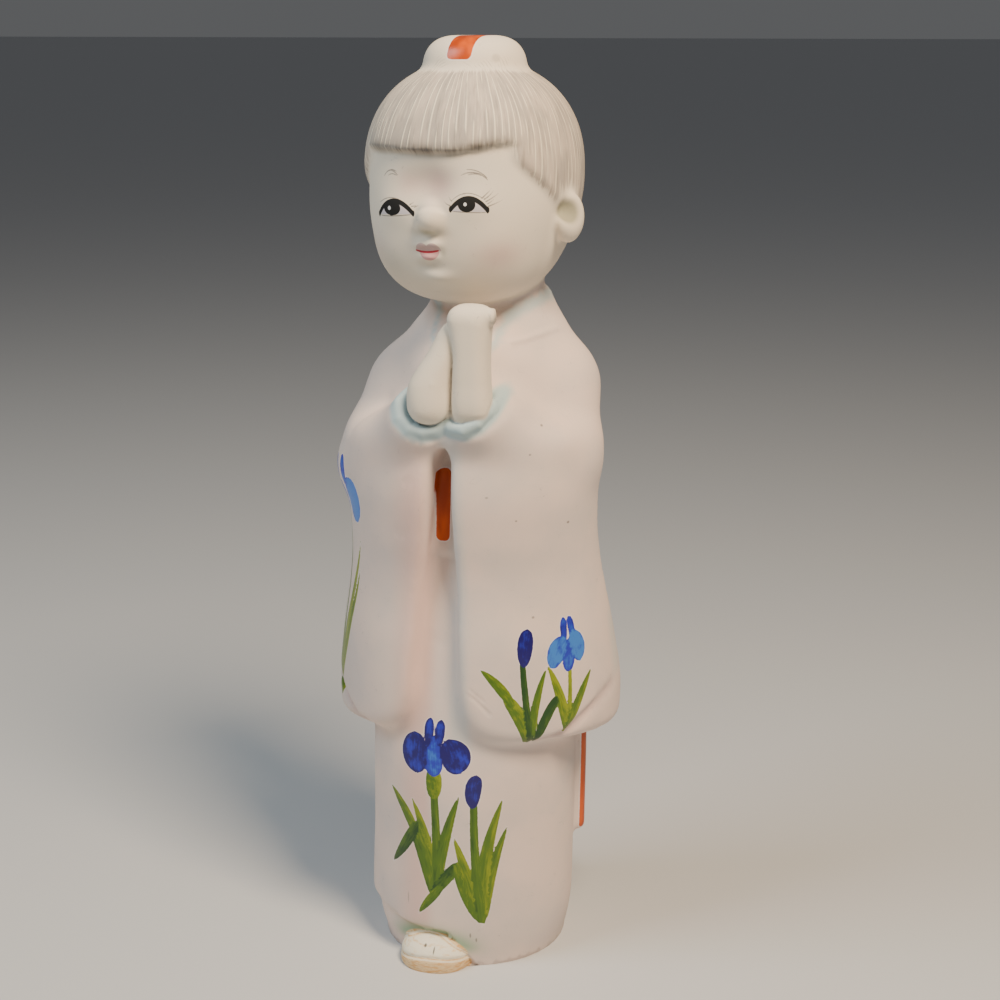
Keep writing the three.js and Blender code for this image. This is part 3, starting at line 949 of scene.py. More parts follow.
@dataclass(frozen=True)
class FacePaint:
    """Brush marks of the face, in millimetres round the head and up it."""

    radius: float = 33.5
    eye_whites: tuple[Mark, ...] = (
        Mark((8.0, 249.2), (18.9, 249.1), 1.75, 1.75, Brush.LENS),
        Mark((-4.9, 247.8), (-18.6, 246.9), 1.85, -1.85, Brush.LENS),
    )
    blacks: tuple[Mark, ...] = (
        Mark((7.9, 249.7), (18.8, 249.6), 0.72, 3.4, Brush.LID),
        Mark((12.7, 253.5), (12.7, 248.9), 2.62, 0.0, Brush.OVAL),
        Mark((-4.9, 247.9), (-18.9, 247.0), 0.72, -3.9, Brush.LID),
        Mark((-12.7, 251.4), (-12.8, 246.9), 3.5, 0.0, Brush.OVAL),
    )
    glints: tuple[Mark, ...] = (
        Mark((12.3, 251.8), (12.3, 250.7), 0.5, 0.0, Brush.OVAL),
        Mark((-13.6, 249.7), (-13.6, 248.5), 0.66, 0.0, Brush.OVAL),
    )
    lines: tuple[Mark, ...] = (
        Mark((8.4, 249.1), (18.8, 248.9), 0.17, -0.1, Brush.LINE),
        Mark((7.9, 252.0), (17.3, 253.2), 0.14, 1.9, Brush.LINE),
        Mark((-4.9, 247.7), (-17.9, 246.6), 0.17, 0.3, Brush.LINE),
        Mark((-9.9, 251.8), (-18.7, 250.4), 0.15, -1.0, Brush.LINE),
        Mark((17.2, 253.1), (20.4, 256.3), 0.2, -0.1, Brush.LASH),
        Mark((17.9, 252.8), (20.9, 255.7), 0.2, -0.3, Brush.LASH),
        Mark((18.4, 252.1), (22.2, 254.5), 0.2, -0.1, Brush.LASH),
        Mark((18.8, 251.4), (21.0, 253.0), 0.17, -0.1, Brush.LASH),
        Mark((19.1, 250.7), (23.5, 252.6), 0.2, -0.1, Brush.LASH),
        Mark((7.6, 250.8), (5.3, 252.3), 0.18, 0.3, Brush.LASH),
        Mark((8.1, 252.1), (7.0, 253.4), 0.16, 0.1, Brush.LASH),
        Mark((-6.1, 250.5), (-4.9, 251.3), 0.18, 0.0, Brush.LASH),
        Mark((-5.5, 250.0), (-3.2, 250.4), 0.18, 0.0, Brush.LASH),
        Mark((-4.5, 249.8), (-3.1, 250.2), 0.16, 0.0, Brush.LASH),
        Mark((10.9, 259.7), (19.0, 258.4), 0.16, 1.5, Brush.LINE),
        Mark((12.6, 261.4), (18.8, 259.0), 0.15, 0.8, Brush.LINE),
        Mark((13.0, 259.8), (17.0, 259.7), 0.15, 0.4, Brush.LINE),
        Mark((-17.9, 258.4), (-11.7, 259.0), 0.16, 1.6, Brush.LINE),
        Mark((-16.1, 260.0), (-12.2, 260.1), 0.14, 0.5, Brush.LINE),
        Mark((-15.8, 258.7), (-12.2, 258.9), 0.14, 0.5, Brush.LINE),
    )
    upper_lip: tuple[Mark, ...] = (
        Mark((-4.8, 236.7), (0.6, 237.4), 1.15, 1.0, Brush.LENS),
        Mark((-1.2, 237.4), (4.5, 236.9), 1.15, 1.0, Brush.LENS),
        Mark((-2.4, 237.0), (2.6, 237.0), 0.9, 0.3, Brush.OVAL),
    )
    lower_lip: tuple[Mark, ...] = (Mark((-3.3, 236.3), (3.6, 236.5), 1.25, -1.3, Brush.OVAL),)
    mouth: tuple[Mark, ...] = (Mark((-4.6, 236.8), (3.4, 237.0), 0.34, -0.5, Brush.LINE),)


def painted(marks: tuple[Mark, ...], u: np.ndarray, v: np.ndarray) -> tuple[np.ndarray, np.ndarray]:
    """Lays marks over each other.

    Args:
        marks: Brush marks, the lowest first.
        u: Distance of each point round the surface.
        v: Height of each point.

    Returns:
        The signed distance from the marks' common outline, and one row for each point with
        the share along and across the top mark there and its tone.
    """
    nearest = np.full(len(u), FAR_AWAY)
    stroke = np.zeros((len(u), 3))
    closest = np.full(len(u), FAR_AWAY)
    for mark in marks:
        distance, along, across = mark.measure(u, v)
        on_top = (distance < 0.0) | ((distance < closest) & (closest > 0.0))
        closest = np.where(on_top, distance, closest)
        stroke[on_top] = np.column_stack((along, across, np.full(len(u), mark.tone)))[on_top]
        nearest = np.minimum(nearest, distance)
    return nearest, stroke


@dataclass(frozen=True)
class Painter:
    """Works out where the paint, the painted light and the painted shade lie: one attribute of the mesh for
    each paint and each painted light or shade.
    """

    figure: Figure
    face: FacePaint = FacePaint()
    skin_depth: float = 1.2
    # Pink blush on both cheeks, and painted shade in the hollow above the nose between the brows.
    blush_and_brow_shade: tuple[Swell, ...] = (
        Swell((20.0, -25.0, 236.0), (7.5, 8.0, 5.0), 0.8),
        Swell((-20.0, -25.0, 236.0), (7.0, 8.0, 5.0), 0.4),
        Swell((3.0, -33.0, 257.0), (5.5, 8.0, 5.0), 1.0),
        Swell((-7.0, -33.0, 257.0), (5.0, 8.0, 4.5), 0.7),
    )
    shade: tuple[Swell, ...] = (
        Swell((0.3, -35.0, 242.4), (4.4, 4.0, 1.1), 1.0),
        Swell((0.2, -34.0, 231.8), (4.4, 4.0, 1.2), 0.5),
        Swell((4.8, -33.5, 236.4), (0.9, 3.0, 1.5), 0.7),
        Swell((-15.0, -28.0, 231.0), (7.0, 7.0, 5.0), 0.3),
    )
    ear_shade: float = 3.0
    hair_depth_in_front: float = 4.0
    side_hair_end: float = 248.0
    nape: float = 236.0
    bun_foot: float = 284.0
    ear_margin: float = 1.2
    bun_margin: float = 1.4
    fringe_band: Pair = (0.5, 1.9)
    fringe_ends: tuple[Pair, Pair] = ((-48.0, -38.0), (36.0, 50.0))
    ribbon_half_width: float = 3.9
    ribbon_place: Pair = (1.4, 293.0)
    ribbon_corner: float = 1.8
    strip_middle: Pair = (-3.5, 156.0)
    strip_half: Pair = (0.5, 9.9)
    strip_corner: float = 1.7
    strip_reach: float = 6.0
    tail_foot: float = 35.4
    tail_thickness: Pair = (2.1, 1.3)
    collar_band: tuple[Pair, Pair] = ((-0.4, 0.3), (1.6, 4.0))
    collar_from: Pair = (198.0, 207.0)
    collar_strength: float = 0.75
    cuff_band: Pair = (0.6, 2.4)
    edge_band: Pair = (1.5, 5.5)
    edge_strength: float = 0.35
    gap_width: float = 0.8
    gap_end: Pair = (0.0, 3.0)
    # Painted warm light on the right sleeve's inner face: where it rises across the sleeve, and where it
    # falls.
    painted_warm_light_band: tuple[Pair, Pair] = ((-22.0, -11.0), (-9.0, -4.0))
    painted_warm_light_top: Pair = (160.0, 184.0)
    back_strip_turns: tuple[Pair, Pair] = ((88.0, 97.0), (100.0, 105.0))
    back_strip_heights: tuple[Pair, Pair] = ((92.0, 98.0), (112.0, 120.0))
    skin_edge: Pair = (-0.4, 0.6)
    shade_reach: float = 3.2
    shade_rise: Pair = (3.0, 8.0)
    face_side: float = -8.0
    strip_side: float = -10.0
    front_side: float = -15.0

    def plants(self, p: np.ndarray) -> dict[str, np.ndarray]:
        """Attributes of the flowers and leaves on the dress.

        Args:
            p: Points on the surface, in layout millimetres.

        Returns:
            Each attribute by its name: outlines, and the place within the top brush mark.
        """
        robe, sleeves = self.figure.robe, self.figure.sleeves
        far_sleeve = joined(sleeves.distance(p, -1), RIGHT_ARM.distance(p), self.figure.sleeve_fillet)
        patches = (
            (SLEEVE_PLANT, sleeves.distance(p, 1)),
            (FAR_SLEEVE_PLANT, far_sleeve),
            (SKIRT_PLANT, robe.distance(p)),
        )
        made = {}
        for name in ("leaves", "petals"):
            outline = np.full(len(p), FAR_AWAY)
            stroke = np.zeros((len(p), 3))
            for plant, surface in patches:
                u = plant.radius * np.arctan2(p[:, 0], -p[:, 1])
                distance, rows = painted(getattr(plant, name), u, p[:, 2])
                distance = np.maximum(distance, np.abs(surface) - self.skin_depth)
                nearer = distance < outline
                outline = np.minimum(outline, distance)
                stroke[nearer] = rows[nearer]
            made[name] = outline
            made[name + "_stroke"] = stroke
        return made

    def features(self, p: np.ndarray) -> dict[str, np.ndarray]:
        """Attributes of the face's paint.

        Args:
            p: Points on the surface, in layout millimetres.

        Returns:
            Each attribute by its name: outlines of the marks, and strengths of the cheeks' blush with the
                painted shade of the brow hollow, and of the painted shade.
        """
        local = self.figure.head.frame_points(p)
        u = self.face.radius * np.arctan2(local[:, 0], -local[:, 1])
        behind = np.where(local[:, 1] > self.face_side, FAR_AWAY, -FAR_AWAY)
        groups = {
            "eye_white": self.face.eye_whites,
            "eye_black": self.face.blacks,
            "eye_glint": self.face.glints,
            "face_lines": self.face.lines,
            "upper_lip": self.face.upper_lip,
            "lower_lip": self.face.lower_lip,
            "mouth_line": self.face.mouth,
        }
        made = {name: np.maximum(painted(marks, u, p[:, 2])[0], behind) for name, marks in groups.items()}
        made["blush_and_brow_shade"] = relief(local, self.blush_and_brow_shade)
        pressed = np.max([ear.pressed(local) / ear.radii[0] for ear in self.figure.head.ears], axis=0)
        made["shade"] = np.minimum(np.maximum(relief(local, self.shade), pressed * self.ear_shade), 1.0)
        return made

    def hair(self, p: np.ndarray) -> dict[str, np.ndarray]:
        """Attributes of the hair's wash and of the ribbon on the bun.

        Args:
            p: Points on the surface, in layout millimetres.

        Returns:
            Each attribute by its name: outlines, and the strength of the fringe's dark smudge, which is grey
                wash and painted shade under the fringe's ledge.
        """
        head = self.figure.head
        local = head.frame_points(p)
        turn, height = front_turn(local), local[:, 2]
        above = head.under_fringe(turn, height)
        past_face = head.beside_face(turn, height)
        past_face = past_face - self.hair_depth_in_front * np.maximum(self.side_hair_end - height, 0.0)
        beside = np.radians(past_face) * self.face.radius
        post = tube(local, head.bun_radius, head.bun_radius, *head.bun_centre)
        off_bun = np.where(height > self.bun_foot, post - self.bun_margin, FAR_AWAY)
        off_ears = np.min([ear.distance(local) for ear in head.ears], axis=0) - self.ear_margin
        wash = np.min([np.maximum(above, beside), off_bun, height - self.nape, off_ears], axis=0)
        first, last = self.fringe_ends
        ends = ramp(*first, turn) * (1.0 - ramp(*last, turn))
        # Dark band under the fringe's edge: grey wash and painted shade under the ledge.
        middle, reach = self.fringe_band
        fringe = np.exp(-(((above - middle) / reach) ** 2)) * ends
        across = np.abs(local[:, 0] - self.ribbon_place[0]) - self.ribbon_half_width
        ribbon = shared(across, self.ribbon_place[1] - height, self.ribbon_corner)
        ribbon = np.maximum(ribbon, post - self.bun_margin)
        bun = np.maximum(np.abs(post), self.bun_foot + self.bun_margin - height)
        return {"hair": wash, "fringe": fringe, "ribbon": ribbon, "bun": bun}

    def dress(self, p: np.ndarray) -> dict[str, np.ndarray]:
        """Attributes of the sash, the tinted edges, the foot, the bare skin, the painted warm light on the
        right sleeve and the painted shade in the sleeves' folds and at the cuffs.

        Args:
            p: Points on the surface, in layout millimetres.

        Returns:
            Each attribute by its name: outlines of sash, sock and foot, and strengths of the tints, the
                painted warm light and the painted shade.
        """
        sleeves, foot = self.figure.sleeves, self.figure.foot
        hands = self.figure.hands.distance(p)
        bare = np.minimum(self.figure.head.distance(p), hands)
        skin = ramp(*self.skin_edge, self.figure.dressed(p) - bare)
        rims = np.min([arm.rim.distance(p) for arm in self.figure.arms], axis=0)
        on_foot = foot.distance(p)
        # Painted shade along the fold creases at the sleeves' lower back corners.
        fold_shade = np.sum([sleeves.crease(side).lift(p) for side in (1, -1)], axis=0)
        # Painted warm light: pink on the right sleeve's inner face, where warm light falls.
        painted_warm_light = np.where(p[:, 1] < self.front_side, self.band(p[:, 0], *self.painted_warm_light_band), 0.0)
        return {
            "sash": self.sash(p),
            "tint": self.tint(p, rims) * (1.0 - skin),
            # Painted shade in the gap between the hands and the cuffs' rims.
            "cuff_gap_shade": between(hands, rims, self.gap_width) * (1.0 - ramp(*self.gap_end, p[:, 0])),
            "painted_warm_light": painted_warm_light * (1.0 - ramp(*self.painted_warm_light_top, p[:, 2])),
            "skin": skin,
            "fold_shade": -fold_shade / sleeves.fold_depth,
            "foot": on_foot,
            "sock": np.minimum(foot.above(foot.sole_arch, p), -foot.above(foot.strap_arch, p)),
            "green_shade": np.exp(-((np.maximum(on_foot, 0.0) / self.shade_reach) ** 2))
            * ramp(*self.shade_rise, p[:, 2]),
        }

    def band(self, value: np.ndarray, rise: Pair, fall: Pair) -> np.ndarray:
        """Soft band that rises between two values and falls between two more."""
        return ramp(*rise, value) * (1.0 - ramp(*fall, value))

    def sash(self, p: np.ndarray) -> np.ndarray:
        """Signed distance from the outline of the sash's orange paint.

        Args:
            p: Points on the surface, in layout millimetres.

        Returns:
            The distance, below nought on the paint.
        """
        robe = self.figure.robe
        sash = Sash(robe)
        low, high = self.tail_thickness
        above_robe = tube(p, *profile(robe.stations, p[:, 2]).T)
        at_back = np.maximum(sash.over(np.full(len(p), FAR_AWAY), p) - high, low - above_robe)
        at_back = np.where(p[:, 1] > 0.0, np.maximum(at_back, self.tail_foot - p[:, 2]), FAR_AWAY)
        outside = np.abs(p[:, (0, 2)] - self.strip_middle) - self.strip_half
        rounded = np.linalg.norm(np.maximum(outside, 0.0), axis=1) - self.strip_corner
        strip = np.maximum(rounded, np.abs(robe.distance(p)) - self.strip_reach)
        return np.minimum(at_back, np.where(p[:, 1] < self.strip_side, strip, FAR_AWAY))

    def tint(self, p: np.ndarray, rims: np.ndarray) -> np.ndarray:
        """Strength of the pale blue tint on the collar, the cuffs and the left sleeve's edges.

        Args:
            p: Points on the surface, in layout millimetres.
            rims: Signed distance of each point from the cuffs' rims.

        Returns:
            The strength, from 0 to 1.
        """
        robe, sleeves = self.figure.robe, self.figure.sleeves
        collar = self.band(-robe.collar_edge(p), *self.collar_band) * ramp(*self.collar_from, p[:, 2])
        cuffs = 1.0 - ramp(*self.cuff_band, rims)
        front = p[:, 0] - mixed(*sleeves.left_front, ramp(*sleeves.front_rise, p[:, 2]))
        on_left = (p[:, 2] < sleeves.top) & (p[:, 2] > sleeves.hem[0]) & (p[:, 1] < self.front_side)
        edge = np.where(on_left, (1.0 - ramp(*self.edge_band, np.abs(front))) * self.edge_strength, 0.0)
        back = self.band(front_turn(p), *self.back_strip_turns)
        back = back * self.band(p[:, 2], *self.back_strip_heights) * self.edge_strength
        return np.maximum.reduce([collar * self.collar_strength, cuffs, edge, back])

    def attributes(self, p: np.ndarray) -> dict[str, np.ndarray]:
        """All attributes of the paint at each point."""
        return self.plants(p) | self.features(p) | self.hair(p) | self.dress(p)


@dataclass(frozen=True)
class Zone:
    """Part of the surface that is divided more finely, in the figure's or the head's frame."""

    centre: Triple
    radii: Triple
    edge: float
    in_head: bool = False


@dataclass
class Casting:
    """The one piece: a copy of the frame's solid, divided and settled onto the form."""

    node: str = "doll"
    body: str = "root"
    slot: str = "painted_bisque"
    figure: Figure = Figure()
    coarse_edge: float = 2.2
    zones: tuple[Zone, ...] = (
        Zone((0.0, 0.0, 258.0), (38.0, 38.0, 44.0), 1.3, True),
        Zone((0.0, -32.0, 247.0), (26.0, 16.0, 22.0), 0.65, True),
        Zone((13.5, -30.0, 251.5), (10.5, 12.0, 5.5), 0.3, True),
        Zone((-11.5, -31.0, 249.5), (9.5, 12.0, 4.6), 0.3, True),
        Zone((14.5, -30.0, 259.8), (6.0, 8.0, 2.8), 0.3, True),
        Zone((-14.5, -30.0, 259.2), (5.0, 8.0, 2.4), 0.3, True),
        Zone((0.0, -33.0, 236.8), (6.5, 6.0, 3.6), 0.3, True),
        Zone((0.0, 0.0, 295.0), (20.0, 22.0, 8.0), 0.9, True),
        Zone((2.0, -15.0, 294.0), (7.0, 6.0, 9.0), 0.6, True),
        Zone((0.9, -33.0, 247.0), (7.0, 7.0, 7.0), 0.5, True),
        Zone((33.0, -2.0, 246.5), (8.0, 9.0, 11.0), 0.6, True),
        Zone((-33.0, -2.0, 249.0), (8.0, 9.0, 11.0), 0.6, True),
        Zone((2.0, -32.0, 199.0), (20.0, 14.0, 25.0), 0.75),
        Zone((2.0, -38.0, 201.0), (3.2, 6.0, 20.0), 0.42),
        Zone((-6.0, -36.0, 186.0), (11.0, 8.0, 6.5), 0.42),
        Zone((9.0, -36.0, 187.5), (9.0, 7.0, 5.5), 0.5),
        Zone((21.0, -7.0, 208.3), (9.0, 12.0, 4.0), 0.7),
        Zone((-2.0, -30.0, 162.0), (7.0, 14.0, 26.0), 0.6),
        Zone((-6.0, -30.0, 6.0), (16.0, 18.0, 12.0), 0.6),
        Zone((28.0, -26.0, 98.0), (24.0, 22.0, 25.0), 0.75),
        Zone((-3.0, -33.0, 52.0), (27.0, 14.0, 40.0), 0.75),
        Zone((-42.0, -10.0, 125.0), (14.0, 26.0, 46.0), 0.95),
        Zone((32.0, 8.0, 62.0), (8.0, 12.0, 34.0), 0.9),
        Zone((-32.0, 8.0, 62.0), (8.0, 12.0, 34.0), 1.2),
    )
    passes: int = 5
    settle_steps: int = 3
    probe: float = 0.03
    farthest: float = 1.5
    pace: float = 0.85
    flattest: float = 0.25
    edge_slack: float = 1.35
    evening: float = 0.4
    floor_skin: float = 0.02
    merge_distance: float = 1e-6

    def wanted_edge(self, p: np.ndarray) -> np.ndarray:
        """Longest edge that the surface may keep at each point.

        Args:
            p: Points near the surface, in layout millimetres.

        Returns:
            The length in millimetres.
        """
        edge = np.full(len(p), self.coarse_edge)
        local = self.figure.head.frame_points(p)
        for zone in self.zones:
            reach = ((local if zone.in_head else p) - zone.centre) / zone.radii
            inside = (reach**2).sum(axis=1) < 1.0
            edge = np.where(inside, np.minimum(edge, zone.edge), edge)
        return edge

    def settle(self, p: np.ndarray) -> np.ndarray:
        """Slides points along the steepest way onto the form.

        Args:
            p: Points near the surface, in layout millimetres.

        Returns:
            The points on the surface.
        """
        for _ in range(self.settle_steps):
            distance = self.figure.distance(p)
            slope = np.empty_like(p)
            for axis in range(3):
                beside = p.copy()
                beside[:, axis] += self.probe
                slope[:, axis] = (self.figure.distance(beside) - distance) / self.probe
            steepness = np.maximum((slope * slope).sum(axis=1), self.flattest)
            wanted = np.clip(distance, -self.farthest, self.farthest)
            p = p - slope * (self.pace * wanted / steepness)[:, None]
        return p

    def divide(self, mesh: bmesh.types.BMesh) -> None:
        """Splits the edges that are too long for their place and settles what they give.

        Args:
            mesh: The casting's mesh, in metres.
        """
        ends = np.array([[v.co for v in edge.verts] for edge in mesh.edges]) / METRES
        lengths = np.linalg.norm(ends[:, 0] - ends[:, 1], axis=1)
        wanted = self.wanted_edge(ends.mean(axis=1))
        too_long = [edge for edge, flag in zip(mesh.edges, lengths > self.edge_slack * wanted) if flag]
        bmesh.ops.subdivide_edges(mesh, edges=too_long, cuts=1, use_grid_fill=True)
        bmesh.ops.triangulate(mesh, faces=mesh.faces[:])
        self.relax(mesh)

    def relax(self, mesh: bmesh.types.BMesh) -> None:
        """Evens the mesh out along its surface and settles it onto the form.

        Args:
            mesh: The casting's mesh, in metres.
        """
        free = [vertex for vertex in mesh.verts if vertex.co.z > self.floor_skin * METRES]
        bmesh.ops.smooth_vert(
            mesh, verts=free, factor=self.evening, use_axis_x=True, use_axis_y=True, use_axis_z=True
        )
        places = self.settle(np.array([vertex.co for vertex in free]) / METRES)
        places[:, 2] = np.maximum(places[:, 2], self.floor_skin * 2.0)
        for vertex, place in zip(free, places * METRES):
            vertex.co = place

    def paint(self, data: bpy.types.Mesh) -> None:
        """Keeps the painter's attributes on the mesh.

        Args:
            data: The casting's mesh, in metres.
        """
        places = np.empty(len(data.vertices) * 3)
        data.vertices.foreach_get("co", places)
        places = places.reshape(-1, 3) / METRES
        for name, values in Painter(self.figure).attributes(places).items():
            if values.ndim == 2:
                layer = data.attributes.new(name, "FLOAT_VECTOR", "POINT")
                layer.data.foreach_set("vector", values.ravel())
            else:
                layer = data.attributes.new(name, "FLOAT", "POINT")
                layer.data.foreach_set("value", values)

    def build(self, source: bpy.types.Object) -> bpy.types.Object:
        """Makes the casting's mesh from the frame's solid.

        Args:
            source: The frame's node that the casting replaces.

        Returns:
            The finished object, at the origin.
        """
        mesh = bmesh.new()
        mesh.from_mesh(source.data)
        mesh.transform(source.matrix_world)
        bmesh.ops.remove_doubles(mesh, verts=mesh.verts[:], dist=self.merge_distance)
        bmesh.ops.triangulate(mesh, faces=mesh.faces[:])
        for step in range(self.passes):
            self.divide(mesh)
            log.info("pass %d: %d triangles", step + 1, len(mesh.faces))
        self.relax(mesh)
        for face in mesh.faces:
            face.smooth = True
        data = bpy.data.meshes.new("doll_casting")
        mesh.to_mesh(data)
        mesh.free()
        self.paint(data)
        piece = bpy.data.objects.new("doll_casting", data)
        bpy.context.scene.collection.objects.link(piece)
        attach(piece, self.body)
        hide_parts(self.node)
        return piece


def display_colour(red: int, green: int, blue: int) -> Colour:
    """Linear colour of a display colour given from 0 to 255.

    Args:
        red: Red as a screen shows it.
        green: Green.
        blue: Blue.

    Returns:
        The linear colour, opaque.
    """
    def linear(value: float) -> float:
        """Linear value of one display value from 0 to 1."""
        return value / 12.92 if value <= 0.04045 else ((value + 0.055) / 1.055) ** 2.4

    return (linear(red / 255.0), linear(green / 255.0), linear(blue / 255.0), 1.0)


class Bench:
    """Lays out and links the shader nodes of one material."""

    def __init__(self, name: str) -> None:
        """Starts a new material with its shader.

        Args:
            name: Name of the material.
        """
        self.material = bpy.data.materials.new(name)
        self.material.use_nodes = True
        self.tree = self.material.node_tree
        self.shader = self.tree.nodes["Principled BSDF"]

    def feed(self, target: Socket, value: Socket | float | Colour | Triple) -> None:
        """Links a socket to its source, or sets the value on it.

        Args:
            target: Input of a node.
            value: Output of another node, or a fixed value.
        """
        if isinstance(value, bpy.types.NodeSocket):
            self.tree.links.new(value, target)
        else:
            target.default_value = value

    def attribute(self, name: str) -> Socket:
        """Value of one of the mesh's attributes.

        Args:
            name: Name of the attribute.

        Returns:
            The value.
        """
        node = self.tree.nodes.new("ShaderNodeAttribute")
        node.attribute_name = name
        return node.outputs["Fac"]

    def stroke(self, name: str) -> tuple[Socket, Socket, Socket]:
        """Shares along and across the top brush mark, and its tone.

        Args:
            name: Name of the attribute.

        Returns:
            The two shares and the tone.
        """
        node = self.tree.nodes.new("ShaderNodeAttribute")
        node.attribute_name = name
        return self.separate(node.outputs["Vector"])

    def math(self, operation: str, *values: Socket | float) -> Socket:
        """Result of a sum on one, two or three values.

        Args:
            operation: Name of the operation.
            values: What it works on.

        Returns:
            The result.
        """
        node = self.tree.nodes.new("ShaderNodeMath")
        node.operation = operation
        for target, value in zip(node.inputs, values):
            self.feed(target, value)
        return node.outputs[0]

    def vector(self, operation: str, *values: Socket | Triple) -> Socket:
        """Vector or length from a sum on one or two vectors.

        Args:
            operation: Name of the operation.
            values: What it works on.

        Returns:
            The resulting vector, or its length.
        """
        node = self.tree.nodes.new("ShaderNodeVectorMath")
        node.operation = operation
        for target, value in zip(node.inputs, values):
            self.feed(target, value)
        return node.outputs["Value" if operation == "LENGTH" else "Vector"]

    def separate(self, vector: Socket) -> tuple[Socket, Socket, Socket]:
        """Three parts of a vector.

        Args:
            vector: The vector.

        Returns:
            Its parts along the three axes.
        """
        node = self.tree.nodes.new("ShaderNodeSeparateXYZ")
        self.feed(node.inputs[0], vector)
        return node.outputs[0], node.outputs[1], node.outputs[2]

    def combine(self, x: Socket | float, y: Socket | float, z: Socket | float) -> Socket:
        """Vector with the given parts.

        Args:
            x: First part.
            y: Second part.
            z: Third part.

        Returns:
            The vector.
        """
        node = self.tree.nodes.new("ShaderNodeCombineXYZ")
        for target, value in zip(node.inputs, (x, y, z)):
            self.feed(target, value)
        return node.outputs[0]

    def step(self, value: Socket, start: float, end: float) -> Socket:
        """Smooth step from 0 at one value to 1 at another.

        Args:
            value: Value to look up.
            start: Value that gives 0.
            end: Value that gives 1.

        Returns:
            The step, from 0 to 1.
        """
        node = self.tree.nodes.new("ShaderNodeMapRange")
        node.interpolation_type = "SMOOTHSTEP"
        self.feed(node.inputs["Value"], value)
        node.inputs["From Min"].default_value = min(start, end)
        node.inputs["From Max"].default_value = max(start, end)
        node.inputs["To Min"].default_value = 0.0 if start < end else 1.0
        node.inputs["To Max"].default_value = 1.0 if start < end else 0.0
        return node.outputs["Result"]

    def noise(self, place: Socket, scale: Triple | float, detail: float, roughness: float = 0.5) -> Socket:
        """Soft noise around a half.

        Args:
            place: Coordinates to look up.
            scale: How fine the noise is, along each axis or along all of them.
            detail: How many finer layers it has.
            roughness: How strong the finer layers are.

        Returns:
            The noise.
        """
        if isinstance(scale, tuple):
            place, scale = self.vector("MULTIPLY", place, scale), 1.0
        node = self.tree.nodes.new("ShaderNodeTexNoise")
        self.feed(node.inputs["Vector"], place)
        node.inputs["Scale"].default_value = scale
        node.inputs["Detail"].default_value = detail
        node.inputs["Roughness"].default_value = roughness
        return node.outputs["Fac"]

    def times(self, value: Socket, factor: Socket | float) -> Socket:
        """Product of two values."""
        return self.math("MULTIPLY", value, factor)

    def times_plus(self, value: Socket, factor: float, added: Socket | float) -> Socket:
        """Value times a factor, with another value added."""
        return self.math("MULTIPLY_ADD", value, factor, added)

    def swayed(self, noise: Socket, factor: float, value: Socket) -> Socket:
        """Value that a noise around a half moves up and down by a factor."""
        return self.times_plus(self.math("SUBTRACT", noise, 0.5), factor, value)

    def mix(self, share: Socket, under: Socket | Colour, over: Socket | Colour) -> Socket:
        """Colour with another laid over it by a share.

        Args:
            share: How much of the upper colour shows, from 0 to 1.
            under: Lower colour.
            over: Upper colour.

        Returns:
            The mixed colour.
        """
        node = self.tree.nodes.new("ShaderNodeMix")
        node.data_type = "RGBA"
        self.feed(node.inputs[0], share)
        self.feed(node.inputs[6], under)
        self.feed(node.inputs[7], over)
        return node.outputs[2]

    def glaze(self, share: Socket, strength: float, under: Socket | Colour, over: Colour) -> Socket:
        """Colour with another laid thinly over it, by a share of a strength."""
        return self.mix(self.times(share, strength), under, over)


